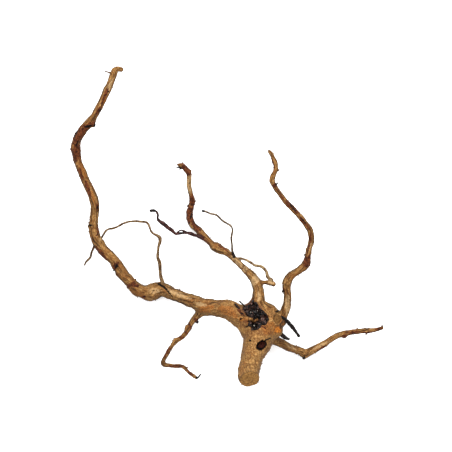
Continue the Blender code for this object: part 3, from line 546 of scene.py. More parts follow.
class Wood:
    """The whole body of wood as one distance: limbs that melt together, with its hollows and cuts."""

    def __init__(self):
        self.limbs = [Limb(stations, seed, ridge=ridge) for stations, seed, ridge, _ in LIMBS]
        self.melts = [row[3] for row in LIMBS]
        self.hub = [Lump(*row) for row in HUB]
        self.knots = [Lump(*row) for row in KNOTS]
        self.pockets = [Lump(*row) for row in POCKETS]
        self.knot_hole = Lump(*KNOT_HOLE)
        self.split = Limb(SPLIT, 0.2, ridge=0.2)
        self.stub_saw = Saw(*STUB_SAW)
        self.scar_saw = Saw(*SCAR_SAW)

    def hollows(self, points):
        """Distances outside the pocket and the knot hole, lumpy as decayed wood is."""
        pocket = np.full(len(points), FAR)
        for lump in self.pockets:
            pocket = melt(pocket, lump.distance(points), 1.5)
        pocket = pocket + 1.5 * noise(points, 4.2, 3) + 0.8 * noise(points, 2.1, 4)
        hole = self.knot_hole.distance(points) + 0.5 * noise(points, 3.0, 5)
        return pocket, hole

    def distance(self, points):
        """Distance outside the wood, negative inside it."""
        total = np.full(len(points), FAR)
        for lump in self.hub:
            total = melt(total, lump.distance(points), 6.0)
        for limb, width in zip(self.limbs, self.melts):
            total = melt(total, limb.measure(points)[:, 0], width)
        for knot in self.knots:
            total = melt(total, knot.distance(points), 2.5)
        pocket, hole = self.hollows(points)
        cut = np.where(pocket < HOLLOWS_REACH, np.minimum(pocket, hole), FAR)
        cut = np.minimum(cut, self.split.measure(points)[:, 0])
        total = -melt(-total, cut, 0.7)
        total = np.maximum(total, self.stub_saw.measure(points)[0])
        over, rest = self.scar_saw.measure(points)
        beside = np.linalg.norm(rest, axis=1) > SCAR_REACH
        total = np.maximum(total, np.where(beside | (over > SCAR_DEPTH), -FAR, over))
        return np.maximum(total, -points[:, 2])

    def settle(self, points, rounds):
        """Moves points onto the surface, a few steps down the slope of the distance."""
        ahead_by, flattest, longest = 0.04, 0.2, 1.2
        for _ in range(rounds):
            here = self.distance(points)
            slope = np.zeros_like(points)
            for axis in range(3):
                ahead = points.copy()
                ahead[:, axis] += ahead_by
                slope[:, axis] = (self.distance(ahead) - here) / ahead_by
            steep = np.maximum((slope * slope).sum(1), flattest)
            move = -(here / steep)[:, None] * slope
            size = np.linalg.norm(move, axis=1)
            points = points + move * np.minimum(1, longest / np.maximum(size, 1e-9))[:, None]
        return points

    def grain(self, points):
        """For each point: its limb's number, along, angle and half width there."""
        best = np.full(len(points), 1e9)
        out = np.zeros((len(points), 4))
        for number, limb in enumerate(self.limbs):
            found = limb.measure(points)
            closer = found[:, 0] < best
            best[closer] = found[closer, 0]
            out[closer, 0] = number
            out[closer, 1:] = found[closer, 1:]
        return out

    def sawn(self, points, out):
        """Which points lie on the two sawn faces."""
        saw = np.zeros(len(points))
        for face, reach in ((self.stub_saw, STUB_REACH), (self.scar_saw, SCAR_REACH)):
            over, rest = face.measure(points)
            flat = (1 - step(np.abs(over), 0.15, 0.9)) * step(out @ face.normal, 0.6, 0.9)
            saw = np.maximum(saw, flat * (1 - step(np.linalg.norm(rest, axis=1), reach - 0.8, reach)))
        return saw

    def pith(self, points, scar):
        """Each point's way from the pith of the branch that was sawn off there."""
        stub = self.limbs[0].points
        middle = stub[np.argmin(np.linalg.norm(stub - self.stub_saw.middle, axis=1))]
        return points - np.where(scar[:, None], self.scar_saw.middle, middle + PITH_OFF)


def join_loops(bm, loops):
    """Adds the faces between each loop of vertices and the next."""
    for here, after in zip(loops, loops[1:]):
        for k in range(len(here)):
            n = (k + 1) % len(here)
            bm.faces.new((here[k], here[n], after[n], after[k]))


def loft(bm, limb, sides, spacing, swell=None):
    """Adds a limb to bm, closed at both ends. Returns each vertex's place along, angle and half width."""
    stops = np.linspace(0, limb.along[-1], max(3, int(limb.along[-1] / spacing) + 1))
    places = []
    loops = []
    for stop in stops:
        centre = np.array([np.interp(stop, limb.along, limb.points[:, k]) for k in range(3)])
        i = int(np.argmin(np.abs(limb.along - stop)))
        radius = float(np.interp(stop, limb.along, limb.radii))
        loop = []
        for k in range(sides):
            angle = 2 * math.pi * k / sides
            reach = float(limb.section(angle, stop, radius))
            if swell is not None:
                reach *= swell(stop, angle)
            at = centre + reach * (math.cos(angle) * limb.sides[i] + math.sin(angle) * limb.ups[i])
            loop.append(bm.verts.new(at * MM))
            places.append((stop, angle, radius))
        loops.append(loop)
    join_loops(bm, loops)
    for loop, i, sign in ((loops[0], 0, -0.4), (loops[-1], -1, 0.6)):
        end = bm.verts.new((limb.points[i] + sign * limb.radii[i] * limb.tangents[i]) * MM)
        places.append((limb.along[i], 0.0, limb.radii[i]))
        for k in range(sides):
            n = (k + 1) % sides
            bm.faces.new((loop[n], loop[k], end) if i == 0 else (loop[k], loop[n], end))
    return np.array(places)


def add_ball(bm, lump, detail):
    for vert in bmesh.ops.create_icosphere(bm, subdivisions=detail, radius=1.0)["verts"]:
        local = np.array(vert.co) * lump.size
        vert.co = Vector((lump.turn @ local + lump.middle) * MM)


def new_object(name, data):
    made = bpy.data.objects.new(name, data)
    bpy.context.scene.collection.objects.link(made)
    return made


def from_bmesh(name, bm):
    bmesh.ops.recalc_face_normals(bm, faces=bm.faces)
    shape = bpy.data.meshes.new(name)
    bm.to_mesh(shape)
    bm.free()
    return new_object(name, shape)


def slab(name, point, facing, size, depth):
    """A block whose one face lies on a sawn face, with the rest on the side sawn away."""
    bm = bmesh.new()
    bmesh.ops.create_cube(bm, size=1.0)
    normal = Vector(facing).normalized()
    turn = normal.to_track_quat("Z", "Y").to_matrix()
    middle = Vector(place(*point) * MM) + normal * depth * MM / 2
    for vert in bm.verts:
        at = vert.co
        vert.co = turn @ Vector((at.x * size * MM, at.y * size * MM, at.z * depth * MM)) + middle
    return from_bmesh(name, bm)


def modify(thing, kind, **settings):
    """Changes the object's mesh by one modifier, which it doesn't keep."""
    modifier = thing.modifiers.new(kind.lower(), kind)
    for key, value in settings.items():
        setattr(modifier, key, value)
    bpy.context.view_layer.update()
    shape = bpy.data.meshes.new_from_object(thing.evaluated_get(bpy.context.evaluated_depsgraph_get()))
    thing.modifiers.clear()
    thing.data = shape


def read(items, key, width=1, kind=np.float32):
    """One value or one row of values for each item."""
    flat = np.zeros(len(items) * width, dtype=kind)
    items.foreach_get(key, flat)
    return flat.reshape(-1, width) if width > 1 else flat


def positions(shape):
    return read(shape.vertices, "co", 3, np.float64) / MM


def normals(shape):
    return read(shape.vertices, "normal", 3, np.float64)


def put_positions(shape, points):
    shape.vertices.foreach_set("co", (points * MM).astype(np.float32).ravel())
    shape.update()


def keep_inside(shape):
    """Holds a mesh's points inside the solid's own box."""
    low, high = (np.array(corner) / MM for corner in CAD_BOX)
    put_positions(shape, np.clip(positions(shape), low + 0.01, high - 0.01))


def put_layers(shape, layers):
    """Keeps masks, from 0 to 1, and vectors with the mesh, for its finish."""
    for name, values in layers.items():
        if values.ndim == 2:
            layer = shape.attributes.new(name, "FLOAT_VECTOR", "POINT")
            layer.data.foreach_set("vector", values.astype(np.float32).ravel())
        else:
            layer = shape.attributes.new(name, "FLOAT", "POINT")
            layer.data.foreach_set("value", np.clip(values, 0, 1).astype(np.float32))


def dress(piece, finish, sharp=None):
    """Gives a piece its finish and smooth shading, and puts it on the root."""
    piece.data.materials.clear()
    piece.data.materials.append(finish)
    piece.data.shade_smooth()
    if sharp is not None:
        piece.data.set_sharp_from_angle(angle=math.radians(sharp))
    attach(piece, "root")


def marks(points, rows, ragged, seed):
    """How far each point lies in any of the marks, with ragged edges."""
    plan = seen(points)
    edge = ragged * (0.6 * noise(points, 3.0, seed) + 0.4 * noise(points, 1.3, seed + 1))
    total = np.zeros(len(points))
    for x, y, length, width, turn in rows:
        c, s = turned(turn)
        dx, dy = plan[:, 0] - x, plan[:, 1] - y
        u, v = (dx * c + dy * s) / length, (dy * c - dx * s) / width
        total = np.maximum(total, 1 - step(np.sqrt(u * u + v * v) + edge, 0.75, 1.15))
    return total


def outline_distance(points, outline):
    """Distance in the plan from a closed outline, negative inside it."""
    plan = seen(points)
    corners = np.array(outline, dtype=float)
    after = np.roll(corners, -1, axis=0)
    nearest = np.full(len(plan), 1e9)
    inside = np.zeros(len(plan), dtype=bool)
    for a, b in zip(corners, after):
        way = b - a
        part = np.clip(((plan - a) @ way) / (way @ way), 0, 1)
        nearest = np.minimum(nearest, np.linalg.norm(plan - a - part[:, None] * way, axis=1))
        crosses = (plan[:, 1] < a[1]) != (plan[:, 1] < b[1])
        over = a[0] + (plan[:, 1] - a[1]) / (b[1] - a[1] if b[1] != a[1] else 1e-9) * (b[0] - a[0])
        inside ^= crosses & (plan[:, 0] < over)
    return np.where(inside, -nearest, nearest)


def grain_space(angle, along, radius, apart):
    """Coordinates in millimetres that run with the grain: round the limb, and along it."""
    return np.column_stack([np.cos(angle) * radius + apart, np.sin(angle) * radius, along])


def tree_of(points):
    tree = KDTree(len(points))
    for i, point in enumerate(points):
        tree.insert(point, i)
    tree.balance()
    return tree


def bumps(points, draw, count, heights, widths):
    """Rounded bumps at random points, with heights and widths drawn from ranges in millimetres."""
    centres = points[draw.choice(len(points), count)]
    rows = zip(centres, draw.uniform(*heights, count), draw.uniform(*widths, count))
    total = np.zeros(len(points))
    tree = tree_of(points)
    for centre, height, width in rows:
        for _, i, gap in tree.find_range(centre, 2.5 * width):
            total[i] += height * math.exp(-(gap / width) ** 2)
    return total


def rgb(red, green, blue):
    """A colour given as it shows on a screen, 0 to 255, as the shader's linear colour."""
    out = []
    for part in (red, green, blue):
        part /= 255
        out.append(part / 12.92 if part <= 0.04045 else ((part + 0.055) / 1.055) ** 2.4)
    return (*out, 1.0)


# Colours as they show on a screen, under light that lifts them by about a third.
LIGHT = rgb(160, 121, 72)
TAN = rgb(119, 83, 43)
RUSSET = rgb(112, 68, 31)
BROWN = rgb(76, 47, 21)
UMBER = rgb(52, 31, 14)
DARK = rgb(30, 17, 8)
HEART = rgb(138, 78, 28)
AMBER = rgb(182, 106, 32)
BARE = rgb(168, 138, 98)
# Painted shade, with some dirt, for the sides and undersides of the wood.
SIDE_SHADE_AND_DIRT = rgb(44, 35, 20)
SAWN = rgb(150, 109, 58)
BARK_DARK = rgb(44, 19, 9)
BARK_RED = rgb(92, 49, 25)
HOLE = rgb(54, 20, 13)
SOOT = rgb(7, 4, 3)
DECAY = rgb(46, 27, 21)
# Grey decay, also used for a painted sheen and painted highlights.
GREY_DECAY_AND_SHEEN = rgb(98, 72, 64)
FLAP = rgb(70, 40, 31)
GLINT_COLOUR = rgb(196, 186, 172)
HAIR = rgb(70, 46, 28)
# The thin twigs' skins: a tone, and a darker one.
TWIG, TWIG_DARK = rgb(106, 83, 55), rgb(58, 38, 20)
SKINS = {
    "pale": (rgb(130, 108, 74), rgb(72, 52, 32)),
    "dark": (rgb(58, 30, 26), rgb(18, 8, 8)),
    "grey": (rgb(106, 90, 72), rgb(52, 40, 30)),
}


class Term:
    """A shader value that adds, subtracts and multiplies like a number."""

    def __init__(self, finish, socket):
        self.finish = finish
        self.socket = socket

    def _do(self, operation, *values):
        return self.finish.make("ShaderNodeMath", {"operation": operation}, dict(enumerate(values)))

    def __add__(self, other):
        return self._do("ADD", self, other)

    __radd__ = __add__

    def __sub__(self, other):
        return self._do("SUBTRACT", self, other)

    def __rsub__(self, other):
        return self._do("SUBTRACT", other, self)

    def __mul__(self, other):
        return self._do("MULTIPLY", self, other)

    __rmul__ = __mul__

    def __abs__(self):
        return self._do("ABSOLUTE", self)


class Finish:
    """A material's node tree, with the few steps that these finishes are made of."""

    def __init__(self, name):
        self.material = bpy.data.materials.new(name)
        self.material.use_nodes = True
        self.tree = self.material.node_tree
        self.shader = self.tree.nodes["Principled BSDF"]

    def make(self, kind, settings, values, output=0):
        """Any node: its settings first, then its socket values or links. Returns one output."""
        node = self.tree.nodes.new(kind)
        for key, value in settings.items():
            setattr(node, key, value)
        for key, value in values.items():
            self.feed(node.inputs[key], value)
        return Term(self, node.outputs[output])

    def feed(self, socket, value):
        if isinstance(value, Term):
            self.tree.links.new(value.socket, socket)
        else:
            socket.default_value = value

    def mask(self, name):
        return self.make("ShaderNodeAttribute", {"attribute_name": name}, {}, "Fac")

    def vector(self, name):
        return self.make("ShaderNodeAttribute", {"attribute_name": name}, {}, "Vector")

    def stretch(self, vector, amounts):
        """The vector times one number, or times one for each axis."""
        if isinstance(amounts, float):
            amounts = (amounts, amounts, amounts)
        return self.make("ShaderNodeVectorMath", {"operation": "MULTIPLY"}, {0: vector, 1: amounts})

    def noise(self, vector, amounts, detail, roughness=0.6, distortion=0.0):
        """Noise whose features are about one over the amounts across."""
        return self.make("ShaderNodeTexNoise", {}, {
            "Vector": self.stretch(vector, amounts), "Scale": 1.0, "Detail": detail,
            "Roughness": roughness, "Distortion": distortion})

    def cells(self, vector, amounts):
        return self.make("ShaderNodeTexVoronoi", {}, {"Vector": self.stretch(vector, amounts), "Scale": 1.0})

    def ease(self, value, low, high, start=0.0, end=1.0):
        """start below low, end above high, eased between."""
        return self.make("ShaderNodeMapRange", {"interpolation_type": "SMOOTHSTEP", "clamp": True}, {
            "Value": value, "From Min": low, "From Max": high, "To Min": start, "To Max": end})

    def layers(self, colour, *tones):
        """The colour with tones laid over it in turn, each as far as its factor says."""
        for tone, factor in tones:
            colour = self.make("ShaderNodeMix", {"data_type": "RGBA", "clamp_factor": True}, {
                0: factor, 6: colour, 7: tone}, 2)
        return colour

    def done(self, sockets, height=None, strength=0.0, distance=0.0):
        """Feeds the shader's sockets, and its Normal from a relief in metres. Returns the material."""
        for name, value in sockets.items():
            self.feed(self.shader.inputs[name], value)
        if height is not None:
            bump = self.make("ShaderNodeBump", {}, {
                "Height": height, "Strength": strength, "Distance": distance})
            self.feed(self.shader.inputs["Normal"], bump)
        return self.material


def wood_finish(settings):
    """Dry, worn wood: streaked tan and brown, with bark, stains, sawn ends and decay by their masks, and
    painted shade in grooves, pits, the split and on the sides and undersides.
    """
    finish = Finish("worn_spiderwood")
    ease, mask = finish.ease, finish.mask
    grain = finish.vector("grain")
    spot = finish.vector("place")
    streaks = finish.noise(grain, (0.6, 0.6, 0.06), 5.0, 0.62, 0.6)
    fibres = finish.noise(grain, (2.6, 2.6, 0.2), 3.0)
    lines = finish.noise(grain, (0.5, 0.5, 0.035), 2.0, 0.5, 0.8)
    wrinkles = finish.noise(grain, (0.09, 0.09, 0.55), 3.0, 0.6, 1.2)
    patches = finish.noise(spot, 0.09, 4.0, 0.6, 0.4)
    blotches = finish.noise(spot, 0.2, 3.0, 0.6, 0.5)
    mottle = finish.noise(spot, 0.4, 5.0, 0.68, 0.2)
    grit = finish.noise(spot, 0.85, 3.0)
    specks = finish.cells(spot, 0.5)
    groove, thick = mask("groove"), mask("thick")

    checks = ease(abs(lines - 0.5), 0.022, 0.004) * ease(patches, 0.42, 0.55) * ease(grit, 0.38, 0.5)
    wrinkled = ease(abs(wrinkles - 0.5), 0.03, 0.006) * thick * ease(grit, 0.36, 0.5)
    bare = finish.layers(
        settings.tan,
        (settings.light, ease(mottle, 0.47, 0.57)),
        (RUSSET, ease(patches, 0.46, 0.6) * 0.7),
        (settings.light, thick * ease(mottle, 0.43, 0.56, 0.0, 0.75)),
        (settings.brown, ease(streaks, 0.49, 0.57) * (0.9 - 0.55 * thick)),
        (UMBER, ease(blotches, 0.52, 0.62) * 0.32),
        # Dark grain streaks, with painted shade in the grooves.
        (UMBER, ease(streaks + 0.2 * groove, 0.56, 0.72) * (0.85 - 0.6 * thick)),
        (BARE, ease(fibres, 0.54, 0.66) * ease(grit, 0.42, 0.6) * 0.6),
        (HEART, mask("orange") * ease(mottle, 0.36, 0.6, 0.15, 0.7)),
        (settings.amber, mask("amber") * ease(mottle, 0.36, 0.56, 0.3, 0.9)),
        (BARE, mask("pale") * ease(mottle, 0.38, 0.66, 0.85, 0.35)),
        (BARK_RED, mask("stain") * ease(grit, 0.42, 0.56, 0.1, 0.8)),
        # Painted shade in the grooves, folds and pits.
        (UMBER, groove * ease(fibres, 0.38, 0.62, 0.15, 0.65)),
        (UMBER, ease(grit, 0.5, 0.62) * ease(mottle, 0.4, 0.6, 0.25, 0.8)),
        # Painted shade, with some dirt: sides and undersides darkened by the way they face.
        (SIDE_SHADE_AND_DIRT, mask("under") * (1 - 0.55 * thick) * ease(patches, 0.35, 0.62, 0.9, 0.55)),
        (DARK, ease(specks, 0.15, 0.05) * ease(mottle, 0.48, 0.6)),
        (DARK, checks * 0.85),
        (UMBER, wrinkled * 0.75))

    # The sawn end's growth rings and the cracks that run out from its pith.
    pith = finish.vector("pith")
    from_pith = finish.make("ShaderNodeVectorMath", {"operation": "LENGTH"}, {0: pith}, "Value")
    rings = finish.make("ShaderNodeMath", {"operation": "SINE"}, {0: (from_pith + 2.2 * mottle) * 6.0})
    outward = finish.make("ShaderNodeVectorMath", {"operation": "NORMALIZE"}, {0: pith})
    cracks = ease(abs(finish.noise(outward, 5.0, 1.0, 0.55) - 0.5), 0.02, 0.004)
    sawn = finish.layers(
        SAWN,
        (settings.brown, ease(mottle, 0.44, 0.6) * 0.7),
        (DARK, ease(grit, 0.55, 0.68) * 0.55),
        (UMBER, ease(rings, 0.2, 1.0) * 0.45),
        (DARK, cracks * ease(from_pith, 1.0, 4.0) * 0.8),
        (UMBER, mask("scar") * 0.62))

    bark_here = ease(mask("bark") + (streaks - 0.5) * 2.2 + (mottle - 0.5) * 0.8, 0.36, 0.56)
    # The black mask holds real stains, with painted shade in the split and the deepest pits.
    black_here = ease(mask("black") + (streaks - 0.5) * 1.4 + (grit - 0.5) * 0.9, 0.45, 0.66)
    pocket_here = ease(mask("pocket") + (mottle - 0.5) * 0.7, 0.35, 0.6)
    flap_here = mask("flap") * ease(grit, 0.4, 0.56, 0.25, 1.0)
    colour = finish.layers(
        bare,
        (sawn, mask("saw")),
        (DARK, mask("rim") * ease(grit, 0.3, 0.6, 0.9, 0.4)),
        (finish.layers(BARK_DARK, (settings.bark, ease(mottle, 0.4, 0.62))), bark_here),
        (finish.layers(HOLE, (SOOT, ease(grit, 0.46, 0.6)), (BROWN, ease(mottle, 0.58, 0.66) * 0.8)),
         mask("hole")),
        (settings.decay, black_here),
        (finish.layers(settings.decay, (DECAY, ease(mottle, 0.5, 0.62))), pocket_here),
        (FLAP, flap_here * ease(mottle, 0.42, 0.56, 0.4, 1.0)))

    height = 0.6 * fibres - 0.8 * checks + 0.5 * mottle + 0.5 * streaks + 0.4 * grit \
        - 0.5 * ease(specks, 0.2, 0.05)
    return finish.done({
        "Base Color": colour,
        "Roughness": ease(mottle, 0.3, 0.7, 0.55, 0.8) - 0.12 * bark_here,
        "Coat Weight": pocket_here * ease(grit, 0.5, 0.62, 0.0, 0.3),
        "Coat Roughness": 0.16,
        "Specular IOR Level": 0.06,
    }, height, settings.bump, 0.0016)


def twig_finish(name, tone, dark, settings):
    """A thin twig's skin: one tone, mottled along it with a darker one, and its black parts with painted grey
    highlights.
    """
    finish = Finish(name)
    ease = finish.ease
    grain = finish.vector("grain")
    mottle = finish.noise(grain, (0.5, 0.5, 0.22), 4.0)
    fibres = finish.noise(grain, (2.6, 2.6, 0.3), 3.0)
    black = ease(finish.mask("black") + (mottle - 0.5) * 0.6, 0.3, 0.6)
    colour = finish.layers(
        tone,
        (dark, ease(mottle, 0.44, 0.56)),
        (dark, ease(fibres, 0.5, 0.66) * 0.8),
        (settings.decay, black),
        # Painted highlights: grey streaks along the black parts.
        (GREY_DECAY_AND_SHEEN, black * ease(fibres, 0.56, 0.66) * 0.4))
    return finish.done({
        "Base Color": colour,
        "Roughness": ease(mottle, 0.3, 0.7, 0.5, 0.7),
        "Specular IOR Level": 0.1,
    }, fibres + mottle, settings.bump, 0.0006)


def bark_finish():
    """Thin, dark red-brown bark."""
    finish = Finish("loose_bark")
    mottle = finish.noise(finish.vector("place"), 0.6, 4.0)
    return finish.done({
        "Base Color": finish.layers(BARK_DARK, (BARK_RED, finish.ease(mottle, 0.4, 0.6))),
        "Roughness": finish.ease(mottle, 0.3, 0.7, 0.4, 0.6),
        "Specular IOR Level": 0.12,
    }, mottle, 0.4, 0.0006)


def black_finish():
    """Decayed wood, black and shiny where it is wet-looking, with pale specks that are painted glints."""
    finish = Finish("black_decay")
    ease, mask = finish.ease, finish.mask
    spot = finish.vector("place")
    mottle = finish.noise(spot, 0.5, 4.0)
    fine = finish.noise(spot, 1.6, 3.0)
    colour = finish.layers(
        SOOT,
        (DECAY, ease(mottle, 0.56, 0.72)),
        # Grey-purple lumps of decay, partly a painted sheen.
        (GREY_DECAY_AND_SHEEN, mask("tone") * ease(mottle, 0.35, 0.55)),
        # Painted glints on the pale specks.
        (GLINT_COLOUR, mask("glint_tone")))
    return finish.done({
        "Base Color": colour,
        "Roughness": ease(fine, 0.35, 0.65, 0.3, 0.6),
        "Coat Weight": ease(fine, 0.55, 0.63, 0.0, 0.7),
        "Coat Roughness": 0.1,
        "Specular IOR Level": 0.15,
    }, fine, 0.6, 0.0008)


class ShapeSettings(bpy.types.PropertyGroup):
    """Sizes of the wood's fine surface."""

    voxel: FloatProperty(name="Grain of mesh", description="Size of the wood mesh's faces",
                         default=0.0009, unit="LENGTH")
    lumps: FloatProperty(name="Lumps", description="Height of the broad, uneven lumps in millimetres",
                         default=0.8)
    ridges: FloatProperty(name="Ridges", description="Height of the long grain ridges in millimetres",
                          default=0.42)
    bark: FloatProperty(name="Bark", description="Thickness of the bark left on, in millimetres",
                        default=0.3)
    nubs: IntProperty(name="Nubs", description="How many small nubs stand on the wood", default=300)
    pits: IntProperty(name="Pits", description="How many small pits are in the wood", default=110)
    stubs: IntProperty(name="Stubs", description="How many short stubs of rootlets are left", default=110)
    flakes: IntProperty(name="Flakes", description="How many flakes of bark lift from the wood", default=260)
    crumbs: IntProperty(name="Crumbs", description="How many crumbs of decay lie in the pocket", default=220)
    seed: IntProperty(name="Seed", description="Picks the random draws", default=7)


class FinishSettings(bpy.types.PropertyGroup):
    """How the finishes look."""

    bump: FloatProperty(name="Bump", description="Strength of the fine relief", default=0.5)
    tan: FloatVectorProperty(name="Wood", description="Main colour of the bare wood",
                             default=TAN, size=4, subtype="COLOR")
    light: FloatVectorProperty(name="Worn wood", description="Colour of the paler, worn wood",
                               default=LIGHT, size=4, subtype="COLOR")
    brown: FloatVectorProperty(name="Dark grain", description="Colour of the darker grain",
                               default=BROWN, size=4, subtype="COLOR")
    bark: FloatVectorProperty(name="Bark", description="Colour of the bark left on",
                              default=BARK_RED, size=4, subtype="COLOR")
    amber: FloatVectorProperty(name="Heartwood", description="Colour of the bright heartwood spots",
                               default=AMBER, size=4, subtype="COLOR")
    decay: FloatVectorProperty(name="Decay", description="Colour of the stains and the decayed pocket",
                               default=SOOT, size=4, subtype="COLOR")
    twig: FloatVectorProperty(name="Twigs", description="Colour of the thin brown twig",
                              default=TWIG, size=4, subtype="COLOR")


class StageSettings(bpy.types.PropertyGroup):
    """Camera, floor and lights."""

    eye: FloatProperty(name="Camera height", description="Height of the camera above the floor",
                       default=2.0, unit="LENGTH")
    lens: FloatProperty(name="Lens", description="Focal length in millimetres", default=127.43)
    key: FloatProperty(name="Key light", description="Power of the soft key light in watts", default=60.0)
    fill: FloatProperty(name="Overhead light", description="Power of the wide overhead light in watts",
                        default=88.0)
    glint: FloatProperty(name="Glint light", description="Power of the small accent light in watts",
                         default=3.0)
    world: FloatProperty(name="Surround", description="Strength of the pale surround", default=0.62)
    floor: FloatVectorProperty(name="Floor", description="Colour of the floor",
                               default=(0.93, 0.93, 0.93), subtype="COLOR")
    glow: FloatProperty(name="Floor glow", description="How strongly the floor itself glows", default=0.2)


def rough_out(wood, voxel):
    """Limbs, lumps and knots joined and cut, as one even mesh that still needs settling."""
    bm = bmesh.new()
    for limb in wood.limbs:
        loft(bm, limb, 12, 2.4)
    for lump in wood.hub:
        add_ball(bm, lump, 3)
    for knot in wood.knots:
        add_ball(bm, knot, 2)
    root = from_bmesh("root_wood", bm)
    cuts = []
    for i, lump in enumerate([*wood.pockets, wood.knot_hole]):
        bm = bmesh.new()
        add_ball(bm, lump, 3)
        cuts.append(from_bmesh(f"hollow_{i}", bm))
    cuts.append(slab("stub_cut", *STUB_SAW, 60, 30))
    cuts.append(slab("scar_cut", *SCAR_SAW, 2 * SCAR_REACH, SCAR_DEPTH))
    modify(root, "REMESH", mode="VOXEL", voxel_size=1.5 * voxel)
    for cut in cuts:
        modify(root, "BOOLEAN", operation="DIFFERENCE", solver="MANIFOLD", object=cut)
        bpy.data.objects.remove(cut, do_unlink=True)
    modify(root, "REMESH", mode="VOXEL", voxel_size=voxel)
    return root


